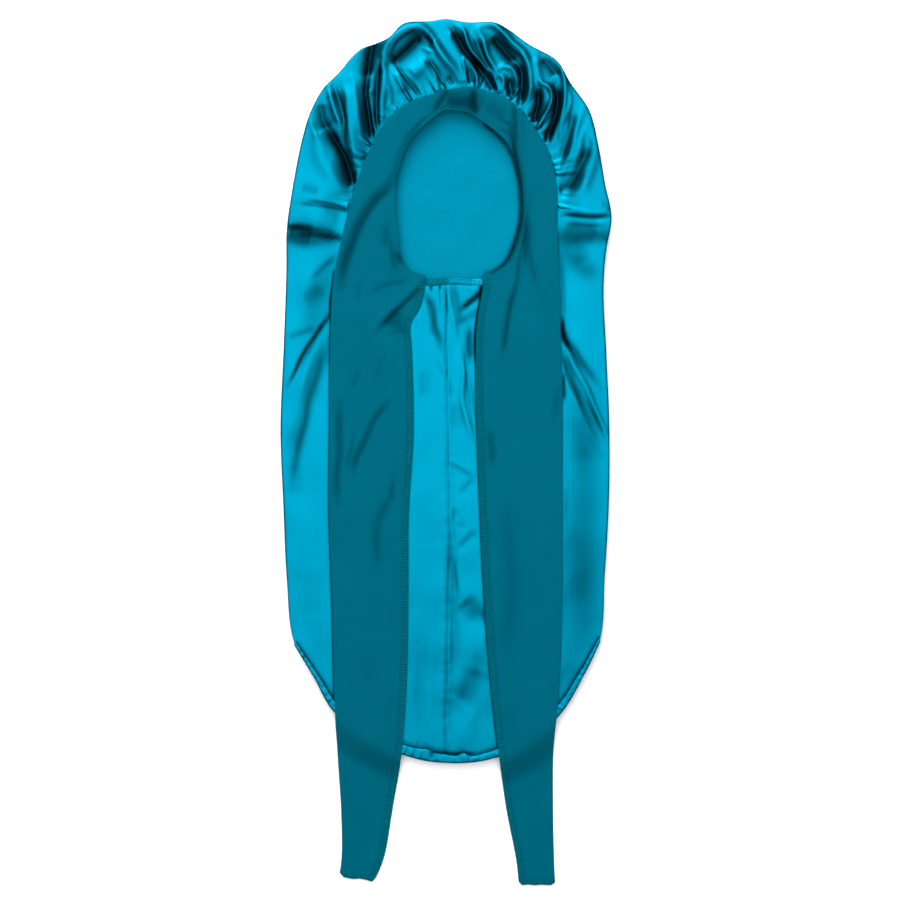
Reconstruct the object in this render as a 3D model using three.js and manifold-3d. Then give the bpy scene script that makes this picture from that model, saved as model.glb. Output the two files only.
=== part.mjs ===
// A long sleep bonnet, lying on its back. Millimetres, +X to the right as seen from above, +Y towards
// the crown, +Z up. The origin is under the middle of the bonnet, on the surface that it lies on.

import * as THREE from 'three';
import { mergeVertices } from 'three/addons/utils/BufferGeometryUtils.js';
import Module from 'manifold-3d';

const wasm = await Module();
wasm.setup();

// Driving dimensions
const satinWall = 1.5;
const jerseyThickness = 2.4;
const clearGap = 0.3;
const rollRadius = 16;
const gatherRise = 30;
const underBandRelief = 0.15;
const hemMouth = { halfWidth: 131, fullHalfWidth: 95, low: 3, high: 9, from: -130, length: 200 };
const hemReach = 40;
const napeStrip = { left: -18.5, right: 33, top: 165.4, height: 6.5, thickness: 1.6 };
const napeCells = { columns: 10, rows: 2 };
const dropLength = 30;
const frontRings = 7;
const evenRingsEnd = 24;
const edgeInsets = [12, 4, 0];
const stripColumns = 6;
const freeFoldDistance = 8;
const cutDepth = 4;
const besideHem = 0.4;
const prismHeight = 60;
const napeCrossing = 158;
const mergeWithin = 0.04;

// Sections of the bag, clockwise from the top of the crown. Each runs from the rim of the face
// opening to the side fold or the hem, and is followed by that many rays up to the next section.
const bagSections = [
  { part: 'crown', side: [0, 409], rim: [4, 325.5], rays: 4 },
  { part: 'crown', side: [20, 406], rim: [14, 325], rays: 4 },
  { part: 'crown', side: [46, 405.5], rim: [24, 323], rays: 3 },
  { part: 'crown', side: [59, 399], rim: [33, 317], rays: 4 },
  { part: 'crown', side: [78, 385], rim: [40, 312], rays: 4 },
  { part: 'crown', side: [104, 370], rim: [48, 306], rays: 4 },
  { part: 'crown', side: [117, 349], rim: [56, 299], rays: 4 },
  { part: 'crown', side: [135, 322.5], rim: [62, 290], rays: 4 },
  { part: 'crown', side: [144, 287], rim: [68, 275], rays: 4 },
  { part: 'crown', side: [150, 253], rim: [72, 256], rays: 4 },
  { part: 'crown', side: [156, 222.5], rim: [73, 240], rays: 4 },
  { part: 'side', side: [151, 192], rim: [72, 222], rays: 3 },
  { part: 'side', side: [148.5, 155], rim: [67, 201], rays: 3 },
  { part: 'side', side: [151, 100], rim: [61, 186], rays: 3 },
  { part: 'side', side: [154, 27], rim: [52, 177], rays: 2 },
  { part: 'side', side: [153.7, -45], rim: [46, 172.5], rays: 2 },
  { part: 'side', side: [150, -115], rim: [41, 169.5], rays: 2 },
  { part: 'corner', side: [146.6, -175], rim: [36, 167], rays: 2 },
  { part: 'hem', side: [131.5, -206], rim: [31, 165], rays: 3 },
  { part: 'hem', side: [104.7, -249], rim: [24, 164.7], rays: 4 },
  { part: 'hem', side: [51, -285], rim: [14, 165], rays: 4 },
  { part: 'hem', side: [3, -291.5], rim: [5, 165], rays: 4 },
  { part: 'hem', side: [-42, -283], rim: [-5, 164.7], rays: 4 },
  { part: 'hem', side: [-104, -245], rim: [-14, 164.2], rays: 3 },
  { part: 'hem', side: [-125, -210], rim: [-21, 166], rays: 2 },
  { part: 'corner', side: [-144.3, -178], rim: [-27, 170], rays: 2 },
  { part: 'side', side: [-150.3, -119], rim: [-33, 173], rays: 2 },
  { part: 'side', side: [-153.5, -45], rim: [-39, 178], rays: 2 },
  { part: 'side', side: [-156, 25], rim: [-43.5, 187], rays: 3 },
  { part: 'side', side: [-153, 100], rim: [-46.5, 200], rays: 3 },
  { part: 'side', side: [-150.4, 172], rim: [-49, 222], rays: 3 },
  { part: 'crown', side: [-150, 211], rim: [-50.5, 240], rays: 4 },
  { part: 'crown', side: [-146, 240.5], rim: [-50, 255], rays: 4 },
  { part: 'crown', side: [-136, 293], rim: [-47, 270], rays: 4 },
  { part: 'crown', side: [-127, 322.5], rim: [-43, 283], rays: 4 },
  { part: 'crown', side: [-115, 344], rim: [-38, 295], rays: 4 },
  { part: 'crown', side: [-101, 358], rim: [-32, 302], rays: 4 },
  { part: 'crown', side: [-81, 380], rim: [-25, 309], rays: 4 },
  { part: 'crown', side: [-54, 391], rim: [-18, 315.5], rays: 4 },
  { part: 'crown', side: [-40, 404.5], rim: [-10, 321.5], rays: 4 },
  { part: 'crown', side: [-15, 407], rim: [-3, 325], rays: 4 },
];

// Heights of the bag's front layer along its length: where the band and ties lie on it, at the
// crest of the gathers outside the band, and at the side fold's widest line.
const heightStations = [
  { y: -292, seat: 12, crest: 12, edge: 4.5 },
  { y: -170, seat: 13, crest: 13, edge: 4.5 },
  { y: 0, seat: 14, crest: 14, edge: 5 },
  { y: 120, seat: 14, crest: 15, edge: 5.5 },
  { y: 180, seat: 13, crest: 17, edge: 7 },
  { y: 250, seat: 13, crest: 22, edge: 8.5 },
  { y: 330, seat: 15, crest: 27, edge: 10.5 },
  { y: 409, seat: 15, crest: 26, edge: 10.5 },
];

// Folds of the satin. Each runs along a curve through three points, and stands up by its lift, or
// sinks where that is below zero, with a rounded profile of that width to each side.
const satinFolds = [
  { at: 'left crown', from: [-127, 311], bend: [-115, 275], to: [-90, 238], width: 11, lift: 6 },
  { at: 'left crown', from: [-112, 321], bend: [-101, 287], to: [-87, 247], width: 8, lift: -8 },
  { at: 'left crown', from: [-108, 348], bend: [-105, 333], to: [-101, 319], width: 6, lift: 4 },
  { at: 'left crown', from: [-95, 348], bend: [-89, 305], to: [-81, 263], width: 8, lift: 7 },
  { at: 'left crown', from: [-76, 343], bend: [-74, 314], to: [-68, 293], width: 6, lift: -8 },
  { at: 'left crown', from: [-65, 343], bend: [-64, 324], to: [-63, 305], width: 4.5, lift: -6 },
  { at: 'left crown', from: [-58, 353], bend: [-59, 333], to: [-58, 314], width: 5, lift: 6 },
  { at: 'crown top', from: [-58, 371], bend: [-52, 388], to: [-35, 399], width: 7, lift: 6 },
  { at: 'crown top', from: [-20, 399], bend: [-6, 378], to: [17, 351], width: 7, lift: 6 },
  { at: 'crown top', from: [-42, 380], bend: [-35, 373], to: [-28, 364], width: 11, lift: -10 },
  { at: 'crown top', from: [-47, 365], bend: [-36, 350], to: [-27, 338], width: 6, lift: 3 },
  { at: 'crown top', from: [8, 395], bend: [19, 376], to: [31, 365], width: 5, lift: -8 },
  { at: 'crown top', from: [16, 371], bend: [22, 359], to: [27, 346], width: 4.5, lift: 4 },
  { at: 'crown top', from: [32, 404], bend: [39, 380], to: [56, 349], width: 6, lift: 6 },
  { at: 'crown top', from: [46, 397], bend: [50, 385], to: [58, 368], width: 7, lift: -8 },
  { at: 'right crown', from: [74, 371], bend: [80, 348], to: [76, 318], width: 6, lift: 6 },
  { at: 'right crown', from: [91, 345], bend: [89, 328], to: [82, 309], width: 5, lift: -7 },
  { at: 'right crown', from: [90, 359], bend: [100, 336], to: [86, 305], width: 4, lift: 6 },
  { at: 'right crown', from: [104, 338], bend: [103, 326], to: [99, 312], width: 5, lift: -7 },
  { at: 'right crown', from: [107, 360], bend: [112, 322], to: [102, 285], width: 6, lift: 5 },
  { at: 'right crown', from: [117, 310], bend: [113, 290], to: [107, 270], width: 6, lift: -7 },
  { at: 'right crown', from: [126, 319], bend: [121, 294], to: [105, 256], width: 6, lift: 5 },
  { at: 'right crown', from: [127, 276], bend: [119, 257], to: [109, 246], width: 8, lift: -7 },
  { at: 'right crown', from: [136, 300], bend: [132, 262], to: [110, 232], width: 7, lift: 5 },
  { at: 'right side', from: [106, 222], bend: [130, 220], to: [154, 222], width: 5, lift: -5 },
  { at: 'right side', from: [118, 204], bend: [124, 192], to: [130, 179], width: 12, lift: -3 },
  { at: 'right side', from: [108, 125], bend: [118, 109], to: [136, 77], width: 6, lift: -4 },
  { at: 'right side', from: [109, 109], bend: [134, 59], to: [145, 3], width: 8, lift: 3 },
  { at: 'left side', from: [-130, 237], bend: [-112, 235], to: [-90, 227], width: 6, lift: 4 },
  { at: 'left side', from: [-151, 216], bend: [-133, 208], to: [-108, 204], width: 6, lift: -5 },
  { at: 'left side', from: [-109, 148], bend: [-133, 94], to: [-145, 74], width: 6, lift: -4 },
  { at: 'left side', from: [-111, 104], bend: [-128, 58], to: [-143, -9], width: 10, lift: -4 },
  { at: 'nape panel', from: [-16, 155], bend: [-12, 136], to: [-9, 112], width: 5, lift: -3 },
  { at: 'nape panel', from: [7, 156], bend: [7, 136], to: [6, 112], width: 5, lift: 2.5 },
  { at: 'nape panel', from: [28, 152], bend: [21, 130], to: [20, 92], width: 5, lift: -3 },
];

// Stations along the folded jersey strip, from the end of the left tie, over the crown, to the end
// of the right tie: the sewn inner edge and the folded outer edge.
const stripStations = [
  { along: 'left tie', inner: [-67, -404], outer: [-101, -399], steps: 3 },
  { along: 'left tie', inner: [-58.5, -381], outer: [-99, -381], steps: 3 },
  { along: 'left tie', inner: [-51, -338], outer: [-99.5, -338], steps: 4 },
  { along: 'left tie', inner: [-42, -283], outer: [-103, -283], steps: 4 },
  { along: 'left tie', inner: [-37, -216], outer: [-105.5, -216], steps: 4 },
  { along: 'left tie', inner: [-35.5, -137], outer: [-107, -137], steps: 2 },
  { along: 'left tie', inner: [-35, -57], outer: [-110, -57], steps: 2 },
  { along: 'left tie', inner: [-30.5, 20], outer: [-109.5, 20], steps: 2 },
  { along: 'left tie', inner: [-32, 98], outer: [-109, 98], steps: 2 },
  { along: 'left tie', inner: [-33, 122], outer: [-108.5, 124], steps: 2 },
  { along: 'left nape', inner: [-24, 139], outer: [-108, 142], steps: 2 },
  { along: 'left nape', inner: [-20, 157], outer: [-106.5, 160], steps: 2 },
  { along: 'left nape', inner: [-20, 168.5], outer: [-104.5, 175], steps: 2 },
  { along: 'left nape', inner: [-27, 170.5], outer: [-102, 187], steps: 2 },
  { along: 'left nape', inner: [-36, 176], outer: [-99.5, 198], steps: 2 },
  { along: 'left cheek', inner: [-42, 187], outer: [-97, 209], steps: 2 },
  { along: 'left cheek', inner: [-45, 206], outer: [-93, 226], steps: 2 },
  { along: 'left cheek', inner: [-47.5, 232], outer: [-87.5, 246], steps: 2 },
  { along: 'left cheek', inner: [-47, 256], outer: [-80.5, 266], steps: 2 },
  { along: 'left cheek', inner: [-41, 280], outer: [-72, 287], steps: 2 },
  { along: 'brow', inner: [-34, 295], outer: [-62, 306], steps: 2 },
  { along: 'brow', inner: [-24, 306.5], outer: [-48, 322], steps: 2 },
  { along: 'brow', inner: [-12, 316.5], outer: [-31, 333], steps: 2 },
  { along: 'brow', inner: [-2, 323.5], outer: [-12, 339.5], steps: 2 },
  { along: 'brow', inner: [9, 323.5], outer: [4, 343.5], steps: 2 },
  { along: 'brow', inner: [21, 321.5], outer: [22, 345.5], steps: 2 },
  { along: 'brow', inner: [33, 314], outer: [40, 341.5], steps: 2 },
  { along: 'brow', inner: [46, 304.5], outer: [57, 334], steps: 2 },
  { along: 'brow', inner: [58, 292.5], outer: [73, 320], steps: 2 },
  { along: 'right cheek', inner: [65.5, 273], outer: [88, 300], steps: 2 },
  { along: 'right cheek', inner: [70, 247], outer: [98, 281], steps: 2 },
  { along: 'right cheek', inner: [70, 224], outer: [103.5, 259], steps: 2 },
  { along: 'right cheek', inner: [64.5, 201], outer: [105, 236], steps: 2 },
  { along: 'right cheek', inner: [55.5, 181.5], outer: [105, 213], steps: 2 },
  { along: 'right nape', inner: [43.5, 172], outer: [106, 193], steps: 2 },
  { along: 'right nape', inner: [34, 168.5], outer: [107, 176], steps: 2 },
  { along: 'right nape', inner: [35, 158], outer: [107.5, 161], steps: 2 },
  { along: 'right nape', inner: [33, 146], outer: [107.8, 147], steps: 2 },
  { along: 'right tie', inner: [29, 120], outer: [108, 120], steps: 2 },
  { along: 'right tie', inner: [28.5, 60], outer: [109.8, 60], steps: 2 },
  { along: 'right tie', inner: [31, -20], outer: [110, -20], steps: 2 },
  { along: 'right tie', inner: [34, -93], outer: [110, -93], steps: 2 },
  { along: 'right tie', inner: [38, -162], outer: [109, -162], steps: 2 },
  { along: 'right tie', inner: [43, -222], outer: [106.6, -222], steps: 4 },
  { along: 'right tie', inner: [49, -276], outer: [102, -276], steps: 4 },
  { along: 'right tie', inner: [57, -335], outer: [101.5, -335], steps: 4 },
  { along: 'right tie', inner: [67, -387], outer: [102.5, -387], steps: 3 },
  { along: 'right tie', inner: [69, -407.5], outer: [103.5, -407.5], steps: 3 },
];

// Creases of the jersey, written as the satin's folds are.
const jerseyCreases = [
  { at: 'left cheek', from: [-52, 256], bend: [-79, 218], to: [-101, 137], width: 12, lift: -0.9 },
  { at: 'left tie', from: [-21, 158], bend: [-42, 141], to: [-63, 120], width: 6, lift: 1.6 },
  { at: 'left tie', from: [-53, 51], bend: [-70, 23], to: [-89, -25], width: 7, lift: 1.2 },
  { at: 'brow', from: [3, 342], bend: [-3, 333], to: [-9, 325], width: 4, lift: 1.6 },
  { at: 'brow', from: [64, 326], bend: [67, 308], to: [70, 287], width: 4, lift: 1.6 },
  { at: 'right cheek', from: [77, 240], bend: [66, 156], to: [52, 90], width: 6, lift: 1.4 },
];

// Height of the casing in plan, along the hem from the right corner to the left one
const hemHeights = [
  { hem: [146.6, -175], height: 3 },
  { hem: [131.5, -206], height: 5 },
  { hem: [104.7, -249], height: 8 },
  { hem: [51, -285], height: 9 },
  { hem: [3, -291.5], height: 9.5 },
  { hem: [-42, -283], height: 9.5 },
  { hem: [-104, -245], height: 8 },
  { hem: [-125, -210], height: 5 },
  { hem: [-144.3, -178], height: 3 },
];

// Small helpers
const flat = ([x, y]) => new THREE.Vector3(x, y, 0);
const clamp01 = (value) => Math.min(1, Math.max(0, value));

function smooth(value) {
  const t = clamp01(value);
  return t * t * (3 - 2 * t);
}

// The shortest distance from a point to a chain of straight segments
function distanceToChain(x, y, chain) {
  let best = Infinity;
  for (let i = 1; i < chain.length; i += 1) {
    const [ax, ay] = chain[i - 1];
    const dx = chain[i][0] - ax;
    const dy = chain[i][1] - ay;
    const t = clamp01(((x - ax) * dx + (y - ay) * dy) / (dx * dx + dy * dy || 1));
    best = Math.min(best, Math.hypot(x - ax - t * dx, y - ay - t * dy));
  }
  return best;
}

// Whether a point lies inside a closed chain, by the crossings of a line drawn to the right
function isInside(x, y, chain) {
  let inside = false;
  for (let i = 1; i < chain.length; i += 1) {
    const [ax, ay] = chain[i - 1];
    const [bx, by] = chain[i];
    if ((ay > y) !== (by > y) && x < ax + ((y - ay) * (bx - ax)) / (by - ay)) inside = !inside;
  }
  return inside;
}

// A closed curve through the points, sampled with that many steps after each point
function closedCurve(points, steps) {
  const curve = new THREE.CatmullRomCurve3(points.map(flat), true, 'centripetal');
  const sampled = [];
  points.forEach((_, i) => {
    for (let k = 0; k < steps[i]; k += 1) {
      const p = curve.getPoint((i + k / steps[i]) / points.length);
      sampled.push([p.x, p.y]);
    }
  });
  return sampled;
}

// An open curve through the points, with the same number of steps between each two, or its own
// number of steps after each point
function openCurve(points, steps) {
  const curve = new THREE.CatmullRomCurve3(points.map(flat), false, 'centripetal');
  const spans = points.length - 1;
  const sampled = [];
  for (let i = 0; i < spans; i += 1) {
    const count = Array.isArray(steps) ? steps[i] : steps;
    for (let k = 0; k < count; k += 1) sampled.push(curve.getPoint((i + k / count) / spans));
  }
  return [...sampled, curve.getPoint(1)].map((p) => [p.x, p.y]);
}

// Curves that the heights are measured from
const rays = bagSections.map((section) => section.rays);
const sideCurve = closedCurve(bagSections.map((section) => section.side), rays);
const rimCurve = closedCurve(bagSections.map((section) => section.rim), rays);
const bagOutline = [...sideCurve, sideCurve[0]];
const firstCorner = bagSections.findIndex((section) => section.part === 'corner');
const lastCorner = bagSections.findLastIndex((section) => section.part === 'corner');
const rayOfSection = (index) => rays.slice(0, index).reduce((sum, count) => sum + count, 0);
const sideFold = [
  ...sideCurve.slice(rayOfSection(lastCorner)),
  ...sideCurve.slice(0, rayOfSection(firstCorner) + 1),
];
const stripSteps = stripStations.map((station) => station.steps);
const stripInner = openCurve(stripStations.map((station) => station.inner), stripSteps);
const stripOuter = openCurve(stripStations.map((station) => station.outer), stripSteps);
const stripOutline = [...stripInner, ...[...stripOuter].reverse(), stripInner[0]];
const withinBand = [...stripOuter, stripOuter[0]];

for (const fold of [...satinFolds, ...jerseyCreases]) {
  fold.chain = openCurve([fold.from, fold.bend, fold.to], 5);
}

function relief(x, y, folds) {
  return folds.reduce(
    (sum, fold) => sum + fold.lift * Math.exp(-((distanceToChain(x, y, fold.chain) / fold.width) ** 2)),
    0,
  );
}

function heightsAt(y) {
  const last = heightStations.length - 1;
  const found = heightStations.findIndex((station) => station.y >= y);
  const upper = found < 1 ? (found < 0 ? last : 1) : found;
  const a = heightStations[upper - 1];
  const b = heightStations[upper];
  const t = smooth((y - a.y) / (b.y - a.y));
  return {
    seat: a.seat + (b.seat - a.seat) * t,
    crest: a.crest + (b.crest - a.crest) * t,
    edge: a.edge + (b.edge - a.edge) * t,
  };
}

// How far the front layer has rolled up from the side fold, from 0 at the fold to 1
function rollUp(x, y) {
  const away = clamp01(distanceToChain(x, y, sideFold) / rollRadius);
  return Math.sqrt(1 - (1 - away) ** 2);
}

// Height of the bag's front layer: the seat under the strip, rising to the gathers' crest outside
// it, with the folds on top, all rolled down to the side fold
function frontHeight(x, y) {
  const fromStrip = isInside(x, y, stripOutline) ? 0 : distanceToChain(x, y, stripOutline);
  const fromBand = isInside(x, y, withinBand) ? 0 : distanceToChain(x, y, withinBand);
  const { seat, crest, edge } = heightsAt(y);
  const free = underBandRelief + (1 - underBandRelief) * smooth(fromStrip / freeFoldDistance);
  const height = seat + (crest - seat) * smooth(fromBand / gatherRise) + free * relief(x, y, satinFolds);
  return edge + (height - edge) * rollUp(x, y);
}

// The thickness of a wall, measured upright where the front layer is steep
function uprightWall(x, y) {
  const step = 1;
  const slopeX = (frontHeight(x + step, y) - frontHeight(x - step, y)) / (2 * step);
  const slopeY = (frontHeight(x, y + step) - frontHeight(x, y - step)) / (2 * step);
  return Math.min(satinWall * Math.hypot(1, slopeX, slopeY), 2.2 * satinWall);
}

// Height that the strip's cloth lies at: on the bag, and past its edge down to the surface
function lyingHeight(x, y) {
  if (isInside(x, y, bagOutline)) return frontHeight(x, y) + clearGap;
  const fall = smooth(distanceToChain(x, y, bagOutline) / dropLength);
  return (heightsAt(y).seat + clearGap) * (1 - fall);
}

// Solids from rings and grids
function toMesh(vertices, triangles) {
  const geometry = new THREE.BufferGeometry();
  geometry.setAttribute('position', new THREE.Float32BufferAttribute(vertices.flat(), 3));
  geometry.setIndex(triangles.flat());
  return geometry;
}

// Triangles between consecutive rings of the same number of points
function ringTriangles(ringCount, size) {
  const triangles = [];
  for (let r = 0; r < ringCount - 1; r += 1) {
    for (let i = 0; i < size; i += 1) {
      const j = (i + 1) % size;
      const a = r * size + i;
      const b = r * size + j;
      triangles.push([a, b, b + size], [a, b + size, a + size]);
    }
  }
  return triangles;
}

// A flat lid over one ring
function lidTriangles(ring, firstIndex, reversed) {
  const contour = ring.map(([x, y]) => new THREE.Vector2(x, y));
  return THREE.ShapeUtils.triangulateShape(contour, []).map(([a, b, c]) => {
    const lid = [firstIndex + a, firstIndex + b, firstIndex + c];
    return reversed ? lid.reverse() : lid;
  });
}

// Turns the triangles over if they face inwards
function faceOutwards(vertices, triangles) {
  const volume = triangles.reduce((sum, [a, b, c]) => {
    const [p, q, r] = [vertices[a], vertices[b], vertices[c]].map((v) => new THREE.Vector3(...v));
    return sum + p.dot(q.cross(r));
  }, 0);
  return volume < 0 ? triangles.map(([a, b, c]) => [a, c, b]) : triangles;
}

// A solid from rings that follow each other, with flat lids on the first and last
function solidFromRings(rings) {
  const size = rings[0].length;
  const vertices = rings.flat();
  const side = ringTriangles(rings.length, size);
  const clockwise = THREE.ShapeUtils.isClockWise(rings[0].map(([x, y]) => new THREE.Vector2(x, y)));
  const first = lidTriangles(rings[0], 0, !clockwise);
  const last = lidTriangles(rings.at(-1), (rings.length - 1) * size, clockwise);
  const triangles = [...side, ...first, ...last];
  return toMesh(vertices, faceOutwards(vertices, triangles));
}

// A solid between an upper and a lower grid of the same rows and columns
function slab(upper, lower) {
  const rows = upper.length;
  const columns = upper[0].length;
  const vertices = [...upper.flat(), ...lower.flat()];
  const below = rows * columns;
  const triangles = [];
  const quad = (a, b, c, d) => triangles.push([a, b, c], [a, c, d]);
  for (let r = 0; r < rows - 1; r += 1) {
    for (let c = 0; c < columns - 1; c += 1) {
      const a = r * columns + c;
      quad(a, a + 1, a + columns + 1, a + columns);
      quad(below + a, below + a + columns, below + a + columns + 1, below + a + 1);
    }
    const left = r * columns;
    const right = left + columns - 1;
    quad(left, left + columns, below + left + columns, below + left);
    quad(right + columns, right, below + right, below + right + columns);
  }
  for (let c = 0; c < columns - 1; c += 1) {
    const end = (rows - 1) * columns + c;
    quad(c + 1, c, below + c, below + c + 1);
    quad(end, end + 1, below + end + 1, below + end);
  }
  return toMesh(vertices, faceOutwards(vertices, triangles));
}

// Joining and cutting
function toManifold(geometry) {
  const bare = geometry.clone();
  bare.deleteAttribute('normal');
  bare.deleteAttribute('uv');
  const merged = mergeVertices(bare, 1e-5);
  return new wasm.Manifold(new wasm.Mesh({
    numProp: 3,
    vertProperties: new Float32Array(merged.attributes.position.array),
    triVerts: new Uint32Array(merged.index.array),
  }));
}

function fromManifold(solid) {
  const mesh = solid.getMesh();
  const geometry = new THREE.BufferGeometry();
  geometry.setAttribute('position', new THREE.BufferAttribute(Float32Array.from(mesh.vertProperties), 3));
  geometry.setIndex(new THREE.BufferAttribute(Uint32Array.from(mesh.triVerts), 1));
  return geometry;
}

// An upright prism over an outline, from just below the surface
function prism(outline) {
  const shape = new THREE.Shape(outline.map(([x, y]) => new THREE.Vector2(x, y)));
  const geometry = new THREE.ExtrudeGeometry(shape, { depth: prismHeight, bevelEnabled: false });
  return toManifold(geometry.translate(0, 0, -1));
}

// Satin bag

// The point on a ray that is that far in from the side fold
function insetPoint(ray, inset) {
  const [rx, ry] = rimCurve[ray];
  const [sx, sy] = sideCurve[ray];
  const share = inset / Math.hypot(rx - sx, ry - sy);
  return [sx + (rx - sx) * share, sy + (ry - sy) * share];
}

// The places of a ring's points in plan: evenly from the rim, and close together at the side fold
function planRings() {
  const lengths = rimCurve.map(([x, y], i) => Math.hypot(x - sideCurve[i][0], y - sideCurve[i][1]));
  const even = Array.from({ length: frontRings }, (_, k) => (
    lengths.map((length, i) => insetPoint(i, length - (length - evenRingsEnd) * (k / (frontRings - 1))))
  ));
  return [...even, ...edgeInsets.map((inset) => lengths.map((_, i) => insetPoint(i, inset)))];
}

const plan = planRings();
const outerFront = plan.map((ring) => ring.map(([x, y]) => [x, y, frontHeight(x, y)]));

// The rear layer lies on the surface, inside the roll of the side fold
function rearRing(extraInset, z) {
  return sideCurve.map(([x, y], i) => {
    const roll = 0.6 + 0.8 * heightsAt(y).edge * (1 - rollUp(x, y));
    return [...insetPoint(i, roll + extraInset), z];
  });
}

function innerSideRing() {
  return sideCurve.map(([x, y], i) => [...insetPoint(i, 1.35 * satinWall), heightsAt(y).edge]);
}

function bagSolid() {
  const innerFront = plan.slice(0, -1).map((ring) => (
    ring.map(([x, y]) => [x, y, frontHeight(x, y) - uprightWall(x, y)])
  ));
  return solidFromRings([
    rearRing(satinWall, satinWall),
    innerSideRing(),
    ...innerFront.reverse(),
    ...outerFront,
    rearRing(0, 0),
  ]);
}

// The same form without its hollow, closed over the face opening, raised to cut what lies on it
function closedForm(raise) {
  const lidHeight = frontHeight(...rimCurve[0]);
  const lid = rimCurve.map(([x, y]) => [x, y, Math.min(lidHeight, frontHeight(x, y))]);
  const rings = [lid, ...outerFront.slice(1), rearRing(0, 0)];
  return toManifold(solidFromRings(rings.map((ring) => ring.map(([x, y, z]) => [x, y, z + raise]))));
}

// Hem

// The plan of the hem's casing, from its upper line out past the bag's bottom
function hemRegion(extraHeight) {
  const upperLine = hemHeights.map(({ hem: [x, y], height }) => {
    const share = 1 - (height + extraHeight) / Math.hypot(x, y);
    return [x * share, y * share];
  });
  const line = openCurve(upperLine, 3);
  const [rightX, rightY] = line[0];
  const [leftX, leftY] = line.at(-1);
  const lowest = Math.min(...sideCurve.map(([, y]) => y)) - hemReach;
  return [
    [rightX + hemReach, rightY + 2 * hemHeights[0].height],
    ...line,
    [leftX - hemReach, leftY + 2 * hemHeights[0].height],
    [leftX - hemReach, lowest],
    [rightX + hemReach, lowest],
  ];
}

// The way through the casing, flat across the middle and closing towards the corners
function mouthSolid() {
  const { halfWidth, fullHalfWidth, low, high, from, length } = hemMouth;
  const middle = (low + high) / 2;
  const section = new THREE.Shape([
    new THREE.Vector2(-halfWidth, middle),
    new THREE.Vector2(-fullHalfWidth, low),
    new THREE.Vector2(fullHalfWidth, low),
    new THREE.Vector2(halfWidth, middle),
    new THREE.Vector2(fullHalfWidth, high),
    new THREE.Vector2(-fullHalfWidth, high),
  ]);
  const geometry = new THREE.ExtrudeGeometry(section, { depth: length, bevelEnabled: false });
  return toManifold(geometry.rotateX(Math.PI / 2).translate(0, from, 0));
}

// Jersey strip
function stripGrid(sink) {
  return stripInner.map(([ix, iy], row) => {
    const [ox, oy] = stripOuter[row];
    return Array.from({ length: stripColumns + 1 }, (_, column) => {
      const t = column / stripColumns;
      const x = ix + (ox - ix) * t;
      const y = iy + (oy - iy) * t;
      const past = isInside(x, y, bagOutline) ? 0 : distanceToChain(x, y, bagOutline);
      return [x, y, Math.max(lyingHeight(x, y) - Math.max(sink - past, 0), 0)];
    });
  });
}

function stripSolid(cutter) {
  const upper = stripGrid(0).map((row) => (
    row.map(([x, y, z]) => [x, y, z + jerseyThickness + relief(x, y, jerseyCreases)])
  ));
  const lower = stripGrid(cutDepth);
  return toManifold(slab(upper, lower)).subtract(cutter);
}

// Nape edge
function napeSolid(cutter) {
  const { left, right, top, height, thickness } = napeStrip;
  const { columns, rows } = napeCells;
  const grid = (lift) => Array.from({ length: rows + 1 }, (_, r) => (
    Array.from({ length: columns + 1 }, (__, c) => {
      const x = left + ((right - left) * c) / columns;
      const y = top - (height * r) / rows;
      return [x, y, frontHeight(x, y) + lift];
    })
  ));
  return toManifold(slab(grid(clearGap + thickness), grid(-cutDepth))).subtract(cutter);
}

// The parts of a solid above and below a level, or to either side of an upright plane, a small gap apart
function parted(solid, direction, at) {
  const opposite = direction.map((value) => -value);
  const halfGap = clearGap / 2;
  const halves = [solid.trimByPlane(direction, at + halfGap), solid.trimByPlane(opposite, halfGap - at)];
  return halves.map((half) => half.simplify(mergeWithin));
}

// Assembly
const finishes = {
  satin: { color: 0x0b9fc6, roughness: 0.35, metalness: 0.3 },
  jersey: { color: 0x00687f, roughness: 0.85, metalness: 0 },
  overlock: { color: 0x0a7d97, roughness: 0.7, metalness: 0 },
};

function named(name, geometry, finish) {
  const mesh = new THREE.Mesh(geometry, new THREE.MeshStandardMaterial(finish));
  mesh.name = name;
  return mesh;
}

const form = closedForm(0);
const raisedForm = closedForm(clearGap);
const bag = toManifold(bagSolid()).subtract(prism(hemRegion(clearGap)));
const hemForm = form.intersect(prism(hemRegion(0)));
const hem = hemForm.subtract(mouthSolid());
const nape = napeSolid(raisedForm);
const besideCopies = [[besideHem, 0, 0], [-besideHem, 0, 0], [0, -besideHem, 0]].map((offset) => (
  hemForm.translate(offset)
));
const strip = stripSolid(besideCopies.reduce((sum, copy) => sum.add(copy), raisedForm));
const [front, rear] = parted(bag, [0, 0, 1], satinWall + clearGap / 2);
const [band, ties] = parted(strip, [0, 1, 0], napeCrossing);
const [tieRight, tieLeft] = parted(ties, [1, 0, 0], 0);

const bonnet = new THREE.Group();
bonnet.add(
  named('satin_front', fromManifold(front), finishes.satin),
  named('satin_rear', fromManifold(rear), finishes.satin),
  named('face_band', fromManifold(band), finishes.jersey),
  named('tie_left', fromManifold(tieLeft), finishes.jersey),
  named('tie_right', fromManifold(tieRight), finishes.jersey),
  named('nape_edge', fromManifold(nape), finishes.overlock),
  named('hem_casing', fromManifold(hem), finishes.satin),
);

// The origin goes under the middle of the whole bonnet
const box = new THREE.Box3().setFromObject(bonnet);
const centre = box.getCenter(new THREE.Vector3());
bonnet.position.set(-centre.x, -centre.y, -box.min.z);
bonnet.updateMatrixWorld(true);

export default bonnet;
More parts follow.
